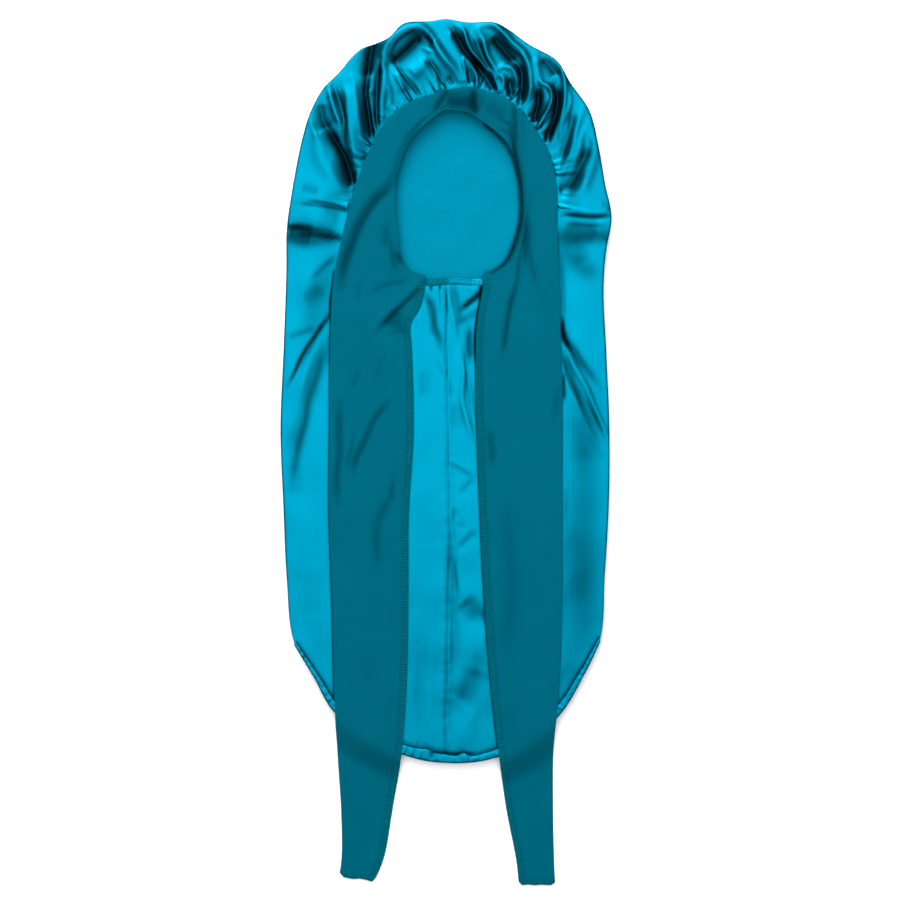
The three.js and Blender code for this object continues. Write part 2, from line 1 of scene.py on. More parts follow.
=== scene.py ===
"""A long satin sleep bonnet that lies flat on its back, seen from straight above.

Lengths in the tables are in millimetres: x to the right, y towards the crown, z up from the surface that
it lies on. Every shape is a function of a place in that plan, so the satin, the jersey strip on it and the
threads all follow one height, worked out from the same sections, heights and folds as the solid parts.
"""

from collections import namedtuple

import bpy
import numpy as np
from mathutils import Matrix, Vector


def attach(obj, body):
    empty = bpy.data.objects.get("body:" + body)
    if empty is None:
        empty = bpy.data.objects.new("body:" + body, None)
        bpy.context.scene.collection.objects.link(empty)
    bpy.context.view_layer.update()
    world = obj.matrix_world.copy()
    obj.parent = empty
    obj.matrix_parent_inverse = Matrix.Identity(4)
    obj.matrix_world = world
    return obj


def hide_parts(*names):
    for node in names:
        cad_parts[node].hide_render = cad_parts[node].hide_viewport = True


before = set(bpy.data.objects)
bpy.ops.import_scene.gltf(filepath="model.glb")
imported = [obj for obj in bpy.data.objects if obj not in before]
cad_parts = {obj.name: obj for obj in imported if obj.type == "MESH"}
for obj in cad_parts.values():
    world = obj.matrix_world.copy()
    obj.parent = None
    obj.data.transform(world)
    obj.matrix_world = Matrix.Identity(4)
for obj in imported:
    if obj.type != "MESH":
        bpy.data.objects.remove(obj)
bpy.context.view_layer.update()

# Named sizes

MM = 0.001

# cloth, and the gaps between what lies on what
SATIN_THICK = 0.5
JERSEY_THICK = 0.7
SHEET_GAP = 0.05
CLEAR_GAP = 0.3

# side fold, gathers and folds
ROLL_RADIUS = 5
ROLL_SHARPNESS = 4
ROLL_INSET = 0.7
EDGE_DROP = 1.5
GATHER_RISE = 30
FOLD_LIFT = 0.5
POINT_RADIUS = 0.8
UNDER_BAND_RELIEF = 0.15
FREE_FOLD_DISTANCE = 5
DROP_LENGTH = 30
FACE_CENTRE = (11.0, 238.0)

# hem casing and nape edge
CASING_HALF_THICKNESS = 0.85
UNDER_CASING_SHARE = 0.45
STITCH_SHARE = 1.06
NAPE_LINE = 158.5
NAPE_ENDS = (-19.5, 34.5)
NAPE_DEPTH = 6.5

# spacing and number of the meshes' rows and columns
RAY_SPACING = 1.4
CROWN_RINGS = 72
BODY_ROWS = 165
RIM_COLUMN_SPACING = 1.1
ROLL_RINGS = 7
REAR_RINGS = 60
REAR_COLUMNS = 360
CASING_RINGS = 380
BAND_ROW_SPACING = 1.7
TIE_ROW_SPACING = 3.2
STRIP_LOWER_COLUMNS = 6
STRIP_FOLD_COLUMNS = 6
STRIP_UPPER_COLUMNS = 54

# threads
OVERLOCK_PITCH = 1.9
OVERLOCK_LENGTH = 6.4
OVERLOCK_TOP = 166
THREAD_SIDES = 6
THREAD_RADIUS = 0.28
NAPE_THREAD_RADIUS = 0.32
NAPE_STITCH_RADIUS = 0.38
HEM_STITCH_RADIUS = 0.45

# picture and floor, the last three in metres
PHOTO_MM_PER_PIXEL = 0.943
PHOTO_MIDDLE = (3.8, 3.8)
PICTURE_WIDTH = 900
LENS = 85
SENSOR = 36
BAG_LEVEL = 0.012
FLOOR_HALF_WIDTH = 6.0
FLOOR_LEVEL = -0.0004

# Tables

Section = namedtuple("Section", "side rim")
Station = namedtuple("Station", "y seat crest")
Fold = namedtuple("Fold", "path width lift")
StripStation = namedtuple("StripStation", "inner outer")
HemPoint = namedtuple("HemPoint", "hem height")
CasingHeight = namedtuple("CasingHeight", "x height")
EndWave = namedtuple("EndWave", "share left right")
Puffs = namedtuple("Puffs", "pitch lift reach seed")

# Lines across the bag's front layer, clockwise from the top of the crown: each from its place on the side
# fold or hem to its place on the rim of the face opening.
BAG_SECTIONS = [
    Section((0, 409), (4, 325.5)),
    Section((20, 406), (14, 325)),
    Section((46, 405.5), (24, 323)),
    Section((59, 399), (33, 317)),
    Section((78, 385), (40, 312)),
    Section((104, 370), (48, 306)),
    Section((117, 349), (56, 299)),
    Section((135, 322.5), (62, 290)),
    Section((144, 287), (68, 275)),
    Section((150, 253), (72, 256)),
    Section((156, 222.5), (73, 240)),
    Section((151, 192), (72, 222)),
    Section((148.5, 155), (67, 201)),
    Section((151, 100), (61, 186)),
    Section((154, 27), (52, 177)),
    Section((153.7, -45), (46, 172.5)),
    Section((150, -115), (41, 169.5)),
    Section((146.6, -175), (36, 167)),
    Section((131.5, -206), (31, 165)),
    Section((104.7, -249), (24, 164.7)),
    Section((51, -285), (14, 165)),
    Section((6, -291.5), (5, 165)),
    Section((1.8, -291.5), (2.4, 165)),
    Section((-3.8, -291.2), (-1.2, 165)),
    Section((-42, -283), (-7, 164.7)),
    Section((-104, -245), (-14, 164.2)),
    Section((-125, -210), (-21, 166)),
    Section((-144.3, -178), (-27, 170)),
    Section((-150.3, -119), (-33, 173)),
    Section((-153.5, -45), (-39, 178)),
    Section((-156, 25), (-43.5, 187)),
    Section((-153, 100), (-46.5, 200)),
    Section((-150.4, 172), (-49, 222)),
    Section((-150, 211), (-50.5, 240)),
    Section((-146, 240.5), (-50, 255)),
    Section((-136, 293), (-47, 270)),
    Section((-127, 322.5), (-43, 283)),
    Section((-115, 344), (-38, 295)),
    Section((-101, 358), (-32, 302)),
    Section((-81, 380), (-25, 309)),
    Section((-54, 391), (-18, 315.5)),
    Section((-40, 404.5), (-10, 321.5)),
    Section((-15, 407), (-3, 325)),
]

# Where the crown ends on the side fold, left and right, and the bag's lower corners, right and left.
CROWN_ENDS = ((-150, 211), (151, 192))
CORNERS = ((146.6, -175), (-144.3, -178))

# Where the gathers along the band begin and end, at its folded edge beside the cheeks.
CHEEKS = [(-99.0, 205.0), (106.0, 205.0)]

# Rows of small gathers: the least and most of their pitch, of how far they stand up and of how far they
# reach from the edge that draws them in.
BAND_PUFFS = Puffs((3.4, 10), (0.2, 1.9), (5, 17), 11)
NAPE_PUFFS = Puffs((2.4, 4.6), (0.2, 0.8), (4, 14), 4)
HEM_PUFFS = Puffs((2.6, 7.5), (0.05, 0.4), (4, 14), 9)
CASING_PUFFS = Puffs((3.0, 8.0), (0.05, 0.35), (9, 10), 31)
NAPE_EDGE_PUFFS = Puffs((2.4, 3.6), (0.02, 0.2), (9, 10), 41)

# Heights of the front layer along the bag: where the strip lies on it, and at the crest of the gathers.
HEIGHTS = [
    Station(-292, 12, 12),
    Station(-170, 13, 13),
    Station(0, 14, 14),
    Station(120, 14, 14.5),
    Station(180, 13, 15),
    Station(250, 13, 18),
    Station(330, 15, 20),
    Station(409, 15, 20),
]

# Folds of the satin: the path along each, how far it spreads to each side, and how far it stands up, or
# sinks. Ridges have a rounded crest.
SATIN_RIDGES = [
    # left crown
    Fold([(-127.5, 311), (-121.5, 297.5), (-116, 275.5), (-105.5, 260.5), (-91.5, 237.5)], 8, 3),
    Fold([(-128, 314), (-124.5, 304.5), (-120.5, 294)], 2.5, 1.2),
    Fold([(-110.5, 345), (-106.5, 329), (-102.5, 317), (-97, 307.5)], 3.2, 3),
    Fold([(-91.5, 351), (-87.5, 324.5), (-84, 296), (-81, 269.5)], 8, 3.5),
    Fold([(-99, 352.5), (-93.5, 337.5), (-93.5, 318.5), (-88.5, 296), (-86, 275.5), (-82, 264)], 3, 1.2),
    Fold([(-87, 354.5), (-84, 332), (-82, 317), (-80, 307.5), (-79, 296)], 2.6, 1.2),
    Fold([(-80, 299), (-74.5, 293.5), (-69, 287.5)], 1.8, 1.6),
    Fold([(-71.5, 342.5), (-74.5, 335)], 2.6, 2.6),
    Fold([(-69.5, 328), (-67.5, 306.5), (-65.5, 294)], 1.9, 2.8),
    Fold([(-59.5, 373.5), (-58.5, 351), (-59.5, 337.5), (-61.5, 319.5), (-62, 305.5)], 4.6, 3),
    Fold([(-54, 349), (-52, 335.5), (-54.5, 322.5)], 2.4, 1.2),
    Fold([(-61.5, 319), (-54, 315)], 1.4, 1.2),
    Fold([(-60.5, 314), (-54.5, 310)], 1.4, 1.2),
    # top of the crown
    Fold([(-61.5, 366), (-59.5, 373.5), (-55.5, 384.5), (-45.5, 395), (-34, 401), (-24, 401),
          (-16.5, 395), (-10, 384.5), (-2.5, 373.5), (6.5, 362.5), (15, 351.5)], 4.6, 5),
    Fold([(-54, 374.5), (-49, 385.5), (-40.5, 394), (-31.5, 398.5)], 1.8, 1),
    Fold([(-45.5, 360), (-42.5, 351), (-39.5, 339.5)], 5, 2.6),
    Fold([(-33, 355.5), (-26.5, 362), (-18, 369.5)], 5.5, 3),
    Fold([(-21.5, 381.5), (-12.5, 376.5)], 1.6, 1.6),
    Fold([(-11, 355.5), (-7.5, 349), (-4, 341.5)], 1.5, 1.6),
    Fold([(16, 368.5), (18, 372.5), (22.5, 369), (28, 358.5), (28.5, 345)], 1.9, 2.6),
    Fold([(16, 369.5), (18, 359.5), (20.5, 348)], 1.8, 2),
    Fold([(9.5, 402.5), (16, 398.5), (20, 386.5), (25, 376.5),
          (35, 366), (44.5, 355), (49, 344), (51.5, 335)], 2.4, 4),
    Fold([(4, 396), (4.5, 389.5)], 2, 1.5),
    # right crown
    Fold([(30.5, 399), (35, 388.5), (39, 373.5), (45.5, 362.5),
          (48, 357.5), (53.5, 353.5), (54.5, 344), (58.5, 331)], 3.2, 3.4),
    Fold([(47, 360), (54.5, 364), (62, 362.5), (65.5, 357.5), (68, 342.5)], 2.8, 2.8),
    Fold([(29, 397), (32, 401), (37.5, 403), (44.5, 403), (53.5, 396), (62, 386.5),
          (71.5, 378), (77, 368), (79, 353), (78.5, 340), (73.5, 325.5)], 3.6, 4.4),
    Fold([(54.5, 388.5), (64, 380), (72.5, 372.5), (75, 362.5), (76.5, 349)], 1.6, 1),
    Fold([(84.5, 375.5), (86, 360), (89, 349), (96.5, 345)], 3.6, 2.4),
    Fold([(89.5, 349), (96.5, 345), (100, 335), (95.5, 323.5), (89, 313), (85.5, 300)], 2.2, 4.2),
    Fold([(100, 371.5), (107.5, 364), (111.5, 350), (111.5, 335.5),
          (109.5, 322.5), (105, 312), (100, 295.5), (98.5, 284)], 3, 3.6),
    Fold([(116, 346), (117, 331), (114, 320.5), (108.5, 309.5), (106.5, 289.5)], 2, 1.5),
    Fold([(90, 302), (97, 309.5)], 1.5, 2),
    Fold([(92.5, 288.5), (97, 294)], 1.4, 1.6),
    Fold([(130, 326.5), (124.5, 312), (121.5, 301), (119, 289.5), (113, 273.5), (103.5, 254.5)], 3.8, 2.6),
    Fold([(134, 311), (128, 299), (126, 288), (118, 268)], 2.8, 1.6),
    Fold([(134, 313), (140, 289.5), (137.5, 275.5), (128, 251), (114, 236.5), (104.5, 228)], 5.5, 3),
    # right side
    Fold([(142.5, 235), (153.5, 228.5)], 3.6, 1.4),
    Fold([(109.5, 229), (131, 227.5), (153, 226.5)], 2.8, 1.5),
    Fold([(109.5, 218.5), (131, 217.5), (153, 217)], 2.4, 0.9),
    Fold([(141.5, 210.5), (148, 202.5), (153.5, 192.5)], 1.8, 0.9),
    Fold([(107.5, 113), (115, 96.6), (121.3, 82), (127.6, 71.3), (133.9, 58.7), (140.2, 43.4),
          (147.5, 26.4), (153, 13)], 2.8, 2),
    Fold([(107, 81), (115, 64.1), (121.3, 51.5), (126.7, 38.9), (132, 27.3), (139.4, 13.6), (147, 2)],
         3.2, 1.7),
    Fold([(113, 190.5), (131, 157.5), (149, 145)], 9, 0.8),
    # left side
    Fold([(-137.5, 226.5), (-117, 221.5), (-100, 219)], 7, 1.2),
    Fold([(-117, 114), (-130, 84), (-138.5, 53)], 4.5, 1.2),
    Fold([(-122.5, 175.5), (-134, 145), (-141.5, 117)], 9, 0.9),
    # panel below the nape
    Fold([(1.5, 155), (3.5, 143), (6.5, 129), (9.5, 108)], 3.4, 1.7),
    Fold([(18, 159), (26, 156), (32, 157)], 3, 1.2),
    Fold([(-8.5, 155.5), (-7.5, 145), (-6.5, 133)], 2, 0.8),
    Fold([(12.5, 98), (17, 81), (15, 54), (20, 31), (29, 6.5)], 2.8, 1.5),
    Fold([(3, -5.5), (13, -11.5), (25.5, -17)], 3, 0.7),
    Fold([(-26.5, 145), (-25.5, 117), (-27.5, 84)], 4, 0.9),
    Fold([(-15, -137.5), (-14, -194.5), (-17, -251)], 5, 0.6),
    Fold([(22.5, -175.5), (26.5, -222.5), (22.5, -265)], 5, 0.7),
]

# Valleys are pointed at the bottom. Their depth also darkens the satin as painted shade.
SATIN_VALLEYS = [
    # left crown
    Fold([(-118, 330), (-115.5, 314), (-110.5, 304.5)], 7, -4.5),
    Fold([(-112, 308.5), (-105.5, 297.5), (-96, 281), (-90, 264), (-85, 246)], 5, -9),
    Fold([(-106, 347), (-99.5, 330), (-96, 316), (-96, 295), (-92.5, 285)], 2.4, -3.4),
    Fold([(-79, 280), (-74.5, 276.5)], 3, -3),
    Fold([(-68, 390.5), (-71.5, 373.5), (-73.5, 352.5)], 6, -8),
    Fold([(-74.5, 356.5), (-75, 338.5), (-74, 328), (-70, 303.5), (-67, 289.5)], 3.2, -7),
    Fold([(-62, 371.5), (-64.5, 352.5), (-65.5, 327), (-64.5, 310), (-62, 300)], 2.4, -5),
    # top of the crown
    Fold([(-22.5, 395), (-35, 381), (-46, 371.5), (-53, 367)], 8, -9),
    Fold([(-20.5, 393), (-13, 384.5)], 4.5, -4),
    Fold([(-47, 367), (-41.5, 358.5), (-34, 349), (-23.5, 336.5)], 1.7, -2.6),
    Fold([(-18, 374.5), (-12.5, 366), (-8, 359.5), (-4, 351), (2, 342.5)], 2.2, -3.6),
    Fold([(1, 354.5), (7.5, 346)], 2.4, -3),
    Fold([(21, 363), (24, 347)], 1.8, -3),
    Fold([(6, 400), (13, 387.5), (18, 379), (28, 367.5), (33, 359.5)], 3.2, -8),
    Fold([(24.5, 371.5), (32, 362), (39.5, 351.5), (47, 338.5)], 3.2, -5.5),
    Fold([(11.5, 348), (19, 347.5)], 2, -2.5),
    # right crown
    Fold([(26.5, 392.5), (35, 373.5), (42.5, 357.5)], 3.6, -4),
    Fold([(58.5, 354.5), (60.5, 345), (62.5, 333)], 3.6, -5),
    Fold([(42.5, 394), (51, 384), (58.5, 375.5), (66, 367)], 6.5, -8),
    Fold([(67, 368), (71.5, 357.5), (71, 343.5), (69, 328)], 4, -7),
    Fold([(90.5, 372.5), (98, 364), (105.5, 354.5)], 5.5, -4.6),
    Fold([(87.5, 345), (86.5, 328), (81, 309.5)], 3.6, -8),
    Fold([(103, 347), (105, 333.5), (102, 314), (98, 304.5), (93.5, 291.5)], 4, -9),
    Fold([(120, 324.5), (117.5, 310), (114, 295), (106.5, 274.5)], 4.4, -3.6),
    Fold([(135, 290.5), (124.5, 267), (115, 252), (104.5, 248)], 6, -5.5),
    # right side
    Fold([(105.5, 224.5), (119, 223.5), (136, 221.5), (156.5, 222.5)], 1.7, -2.3),
    Fold([(107, 124), (114.1, 106.6), (120.4, 98.4), (126.7, 87.7), (135.8, 75.8)], 3.4, -1.8),
    Fold([(107, 101), (116.8, 76.7), (126.7, 54.1), (133, 43.4), (141.2, 28.9), (149.3, 12.7)], 2.4, -1.4),
    # left side
    Fold([(-133, 237.5), (-120, 236), (-107.5, 234), (-98, 231.5), (-89.5, 227.5)], 1.7, -2.4),
    Fold([(-150, 213), (-132, 209.5), (-116, 207.5), (-97, 204)], 3.4, -4),
    Fold([(-108.5, 152), (-111.5, 130), (-133, 94.5), (-147, 72.5)], 2.6, -2.1),
    # panel below the nape
    Fold([(-20, 152), (-14.5, 138), (-11, 119), (-7.5, 111)], 3, -1.1),
    Fold([(36, 151), (27, 146), (16, 140)], 2.6, -1.8),
    Fold([(20, 119), (19, 86), (23.5, 54), (30, 20)], 2.6, -1.3),
    Fold([(4, 70.5), (5.5, 53)], 1.6, -1.2),
    Fold([(-8.5, 86), (-0.5, 72.5)], 1.4, -1.1),
    Fold([(-15, 118), (-10, 110.5)], 1.6, -1),
    Fold([(3, -9.5), (24.5, -22.5)], 2.2, -1.2),
    Fold([(13, -38.5), (26.5, -23.5)], 2.6, -1.4),
    Fold([(28.5, -73.5), (11.5, -89.5)], 3.4, -1.7),
    Fold([(4, -94.5), (10.5, -134)], 2.6, -1.2),
]

# Hollows are shallow and rounded. Their depth also darkens the satin as painted shade.
SATIN_HOLLOWS = [
    # left crown and side
    Fold([(-135, 251), (-121.5, 245)], 5, -1.8),
    Fold([(-149, 209.5), (-126.5, 201)], 9, -3),
    Fold([(-111.5, 105.5), (-120, 84), (-128, 58.5), (-136, 33), (-142.5, 8.5), (-143.5, -11.5)], 7, -2),
    # right side
    Fold([(117, 205.5), (131, 177.5)], 9, -2),
    # panel below the nape
    Fold([(-20.5, 79), (-19, 53)], 5.5, -1.2),
    Fold([(9.5, 47), (11.5, 20.5)], 5, -1.2),
    Fold([(7.5, -53), (10.5, -59.5)], 2.6, -1),
    Fold([(13, -65), (17, -70.5)], 2.6, -1),
    Fold([(19, -135), (37.5, -158.5)], 7, -1.5),
    Fold([(-23.5, -175.5), (-24.5, -232), (-20.5, -274.5)], 5, -0.8),
    Fold([(0, -194.5), (3, -232), (3, -274.5)], 4, -0.7),
    # both sides
    Fold([(136, 70), (133, -15), (131, -100), (133, -180)], 16, -2.2),
    Fold([(110.5, 215), (145, 207.5)], 10, -3),
    Fold([(-134, 143.5), (-115, 156.5)], 8, -2),
    Fold([(-145, -7.5), (-140.5, -43.5)], 6, -1),
    Fold([(-128, -109.5), (-126.5, -156.5)], 20, -0.5),
    # panel between the ties
    Fold([(-15, -62), (-15, -88.5)], 16, -0.6),
    Fold([(-15, -119), (-15, -175.5), (-17, -222.5)], 18, -0.6),
    Fold([(13, -140.5), (30, -158.5)], 8, -1.8),
    Fold([(32, -202), (22.5, -222.5), (11.5, -236.5)], 11, -2.6),
    Fold([(8.5, -62), (5.5, -100), (7.5, -175.5), (7.5, -222.5)], 5, -1.4),
]

# Painted shade: places that lie in the shade of the folds beside them, written as hollows. They only
# darken the satin's colour and don't change the cloth's height.
SATIN_SHADES = [
    # panel below the nape
    Fold([(-20.3, 152), (-12.7, 137.7), (-10.4, 118.8), (-7.5, 112), (-4.7, 98)], 3.6, -4.2),
    Fold([(6.2, 162), (8.5, 152), (11, 142), (12.8, 124)], 3.6, -2.9),
    Fold([(38, 157), (30, 149.5), (24, 144.5), (14, 136)], 2.6, -8),
    Fold([(38, 139), (22.6, 130.1), (8, 122)], 3.6, -3),
    Fold([(21.7, 120), (22.2, 105), (22.6, 88)], 3.4, -4.8),
    Fold([(-14.4, 160), (-14.1, 157.4), (-13.8, 154)], 1.3, -7),
    Fold([(-5.8, 161), (-5.7, 158.4), (-5.6, 155.4)], 1.2, -7),
    Fold([(33, 168), (34, 150), (32.2, 136), (29.4, 121.6), (28.6, 102), (28.4, 88)], 1.9, -15),
    # left side
    Fold([(-142, 236.5), (-131, 235), (-121, 234), (-110, 232.5), (-98, 230), (-88, 226)], 2, -4),
    Fold([(-162, 211), (-148, 214), (-134, 214), (-122, 211)], 3, -4),
    Fold([(-158, 205), (-145, 202), (-130, 200), (-114, 202), (-98, 203)], 6, -3.6),
    Fold([(-144, 207), (-131, 206.5), (-119, 206), (-107, 204.5), (-95, 202)], 2.2, -5.5),
    Fold([(-104, 186), (-112, 180), (-119, 173), (-127, 164)], 3, -2.6),
    Fold([(-98, 198), (-109, 174), (-118, 152), (-124, 134), (-131, 108)], 11, -2.2),
    Fold([(-105, 160), (-107.5, 149), (-109, 138)], 1.8, -5),
    Fold([(-150, 110), (-138, 114), (-122, 119)], 3.4, -2.6),
    Fold([(-108, 134), (-113, 126), (-117, 121), (-123.5, 111),
          (-130, 102), (-136.7, 90.5), (-143.3, 75.4), (-150, 63)], 1.8, -6.5),
    Fold([(-109, 116), (-115, 98), (-123.5, 68.8), (-130.1, 50),
          (-132, 32), (-137.7, 13.2), (-141.5, -5.7), (-147, -34)], 4, -2.9),
    # right side
    Fold([(94, 206), (112, 204.5), (130, 203.5), (150, 205), (166, 207)], 7, -3.4),
    Fold([(92, 204), (106, 192), (120, 181), (134, 172), (146, 166)], 9.5, -2.6),
    Fold([(107, 186), (109.5, 170), (110, 150), (110, 124)], 3.2, -3.2),
    Fold([(109.4, 128), (109.6, 118), (111.5, 109), (117, 99)], 2.2, -9),
    Fold([(108, 128), (114.1, 106.6), (120.4, 98.4), (126.7, 87.7), (135.8, 75.8), (146, 62)], 3.6, -3),
    Fold([(107, 101), (112.2, 87.7), (116.8, 76.7), (122.2, 64.1), (130, 48)], 2.6, -3),
    Fold([(110.6, 76), (111, 64), (111.8, 50)], 1.6, -7),
    Fold([(122, 38), (126, 15), (130, -10)], 12, -1.2),
    Fold([(130, -60), (128, -120), (124, -170), (106, -240)], 24, -1.4),
]

# Stations along the folded strip, from the end of the left tie over the crown to the end of the right tie:
# its sewn inner edge and its folded outer edge.
STRIP_STATIONS = [
    StripStation((-67, -404), (-101, -399)),
    StripStation((-58.5, -381), (-99, -381)),
    StripStation((-51, -338), (-99.5, -338)),
    StripStation((-42, -283), (-103, -283)),
    StripStation((-37, -216), (-105.5, -216)),
    StripStation((-35.5, -137), (-107, -137)),
    StripStation((-35, -57), (-110, -57)),
    StripStation((-30.5, 20), (-109.5, 20)),
    StripStation((-32, 98), (-109, 98)),
    StripStation((-33, 122), (-108.5, 124)),
    StripStation((-24, 139), (-108, 142)),
    StripStation((-20, 157), (-106.5, 160)),
    StripStation((-20, 168.5), (-104.5, 175)),
    StripStation((-27, 170.5), (-102, 187)),
    StripStation((-36, 176), (-99.5, 198)),
    StripStation((-42, 187), (-97, 209)),
    StripStation((-45, 206), (-93, 226)),
    StripStation((-47.5, 232), (-87.5, 246)),
    StripStation((-47, 256), (-80.5, 266)),
    StripStation((-41, 280), (-72, 287)),
    StripStation((-34, 295), (-62, 306)),
    StripStation((-24, 306.5), (-48, 322)),
    StripStation((-12, 316.5), (-31, 333)),
    StripStation((-2, 323.5), (-12, 339.5)),
    StripStation((9, 323.5), (4, 343.5)),
    StripStation((21, 321.5), (22, 345.5)),
    StripStation((33, 314), (40, 341.5)),
    StripStation((46, 304.5), (57, 334)),
    StripStation((58, 292.5), (73, 320)),
    StripStation((65.5, 273), (88, 300)),
    StripStation((70, 247), (98, 281)),
    StripStation((70, 224), (103.5, 259)),
    StripStation((64.5, 201), (105, 236)),
    StripStation((55.5, 181.5), (105, 213)),
    StripStation((43.5, 172), (106, 193)),
    StripStation((34, 168.5), (107, 176)),
    StripStation((35, 158), (107.5, 161)),
    StripStation((33, 146), (107.8, 147)),
    StripStation((29, 120), (108, 120)),
    StripStation((28.5, 60), (109.8, 60)),
    StripStation((31, -20), (110, -20)),
    StripStation((34, -93), (110, -93)),
    StripStation((38, -162), (109, -162)),
    StripStation((43, -222), (106.6, -222)),
    StripStation((49, -276), (102, -276)),
    StripStation((57, -335), (101.5, -335)),
    StripStation((67, -387), (102.5, -387)),
    StripStation((69, -407.5), (103.5, -407.5)),
]

# Creases of the jersey, written as the satin's folds are. The depth of the valleys and hollows also
# darkens the jersey as painted shade.
JERSEY_RIDGES = [
    # left nape and tie
    Fold([(-20.5, 166), (-36, 149), (-51, 134), (-68, 119)], 5, 2.2),
    Fold([(-49, 58.5), (-64, 32), (-81, 4)], 6, 1),
    # brow and right cheek
    Fold([(6.5, 344), (0, 334), (-6.5, 322.5)], 2.2, 1),
    Fold([(69, 330), (70, 304.5), (70.5, 290.5)], 2.6, 1.2),
    Fold([(73.5, 243.5), (73.5, 209.5), (68, 181), (61.5, 145)], 4, 1.2),
]

JERSEY_VALLEYS = [
    # left cheek, nape and tie
    Fold([(-52, 202), (-50, 182), (-46, 169.5)], 1.5, -1.3),
    Fold([(-48, 187), (-38.5, 183.5)], 1.8, -1.3),
    Fold([(-20.5, 160.5), (-33, 147), (-46, 135), (-56, 124.5), (-65, 114)], 2.2, -2),
    Fold([(-70.5, 151), (-55.5, 158.5), (-36, 163)], 2.6, -1),
    Fold([(-83, 161.5), (-82, 143.5)], 1.8, -0.8),
    # brow
    Fold([(4, 345), (-4, 334), (-11.5, 321.5)], 1.7, -3.4),
    Fold([(27.5, 342.5), (25.5, 330), (26.5, 318.5)], 2.6, -2.4),
    Fold([(64, 331), (65, 304.5), (66, 289.5)], 1.9, -2.4),
    Fold([(50, 315), (64, 307.5)], 1.4, -1.2),
    Fold([(52, 304.5), (63, 299)], 1.3, -1),
    # right cheek and tie
    Fold([(59.5, 293.5), (65, 275.5), (69, 256.5), (70, 225.5)], 2, -1.7),
    Fold([(78.5, 241.5), (75.5, 209.5), (70, 186), (66, 155.5),
          (60.5, 137.5), (55.5, 107.5), (51, 87)], 1.8, -1.4),
    Fold([(78.5, 218), (79, 186), (87, 154.5)], 2.8, -1.2),
    # along the sewn inner edge, brow and ties
    Fold([(-19, 316), (-36, 295), (-44.5, 275.5), (-48, 254.5)], 1.8, -1.6),
    Fold([(61, 305.5), (65.5, 281), (70, 252), (70.5, 222), (65.5, 201), (56, 181), (43.5, 170.5)],
         1.9, -6.5),
    Fold([(25.5, 343.5), (26, 332), (29, 321)], 2.2, -4.5),
    Fold([(75.5, 222.5), (75.5, 179)], 2.2, -1.6),
    Fold([(64, 156.5), (58.5, 128), (54, 92.5)], 2, -1.4),
    Fold([(-81, 79), (-88.5, 60.5)], 2.4, -0.8),
    Fold([(-58.5, 96), (-67, 65)], 2.4, -0.6),
]

JERSEY_HOLLOWS = [
    # left cheek and tie
    Fold([(-56, 217), (-57, 193.5)], 4, -1),
    Fold([(-56.5, 122.5), (-43.5, 135)], 5, -1.4),
    Fold([(-52.5, 51), (-65, 35), (-69.8, 27.5), (-74.5, 16), (-80.2, 4), (-84.9, -5.7), (-87.7, -20)],
         3.4, -1.9),
    Fold([(-85.4, 22.5), (-90.5, -1), (-94.8, -16)], 1.8, -1),
    Fold([(-100, 48), (-100.4, 22), (-100, -1), (-102.8, -20), (-101.8, -48)], 3.4, -1.7),
    Fold([(-50, -24.5), (-51, -45)], 2.4, -0.9),
    Fold([(-50, -37.5), (-64, -67), (-64, -109.5)], 5, -1.1),
    # right tie
    Fold([(105.5, 60), (102.5, 32)], 3, -0.8),
    Fold([(40, 22), (43, 6), (43.5, -12)], 3.4, -1.4),
    Fold([(55.5, -43.5), (62, -119), (58.5, -194.5)], 7, -0.6),
    # cheek and brow
    Fold([(-47, 262), (-54.5, 251), (-67, 238.5), (-75.5, 226.5),
          (-84, 210.5), (-90.5, 193.5), (-96, 177.5), (-99, 156.5)], 4.5, -3.0),
    Fold([(-1, 331), (12, 331.5), (30, 329.5)], 7.5, -3.6),
    Fold([(37.5, 328), (56.5, 317)], 8, -1.2),
    Fold([(-47, 128), (-41.5, 111.5)], 8, -1.3),
    Fold([(-47, 192.5), (-42.5, 177.5)], 4, -1.6),
]

# Height of the casing in plan, along the hem from the right corner to the left one.
HEM = [
    HemPoint((146.6, -175), 3),
    HemPoint((131.5, -206), 5),
    HemPoint((104.7, -249), 8),
    HemPoint((51, -285), 9),
    HemPoint((3, -291.5), 9.5),
    HemPoint((-42, -283), 9.5),
    HemPoint((-104, -245), 8),
    HemPoint((-125, -210), 5),
    HemPoint((-144.3, -178), 3),
]

# The casing's height between the ties, where its stitched line wanders.
CASING_HEIGHTS = [
    CasingHeight(-62, 9.2),
    CasingHeight(-41, 9.5),
    CasingHeight(-31, 10),
    CasingHeight(-18, 11.2),
    CasingHeight(-12.5, 9),
    CasingHeight(-1, 8.2),
    CasingHeight(11, 7.3),
    CasingHeight(16.5, 9.8),
    CasingHeight(24.5, 6.4),
    CasingHeight(37.7, 7.1),
    CasingHeight(48, 7.4),
    CasingHeight(62, 8.6),
]

# The centre seam, from the nape down to the hem.
SEAM = [(-0.6, 160), (-0.5, 128), (-0.4, 103), (0.5, 51), (1.4, -12), (2.5, -38), (1.7, -53), (3.4, -77),
        (1.9, -138), (0.2, -213), (-0.7, -260), (-0.9, -290)]

# The upper line of the nape's edge.
NAPE_TOP = [(-19.5, 165.4), (-14, 165), (0.2, 166.1), (11.3, 165.9), (24.5, 165.2), (34.6, 165.6)]

# How far the cut ends of the ties stand out from a straight line, upwards, at shares of the width from the
# sewn edge to the fold.
END_WAVES = [
    EndWave(0, 1.8, 1.6),
    EndWave(0.09, -1.8, -1.2),
    EndWave(0.26, -0.7, -0.4),
    EndWave(0.44, -0.3, -1.0),
    EndWave(0.61, -1.8, -0.6),
    EndWave(0.88, -1.4, -1.0),
    EndWave(1, 2.4, 1.4),
]


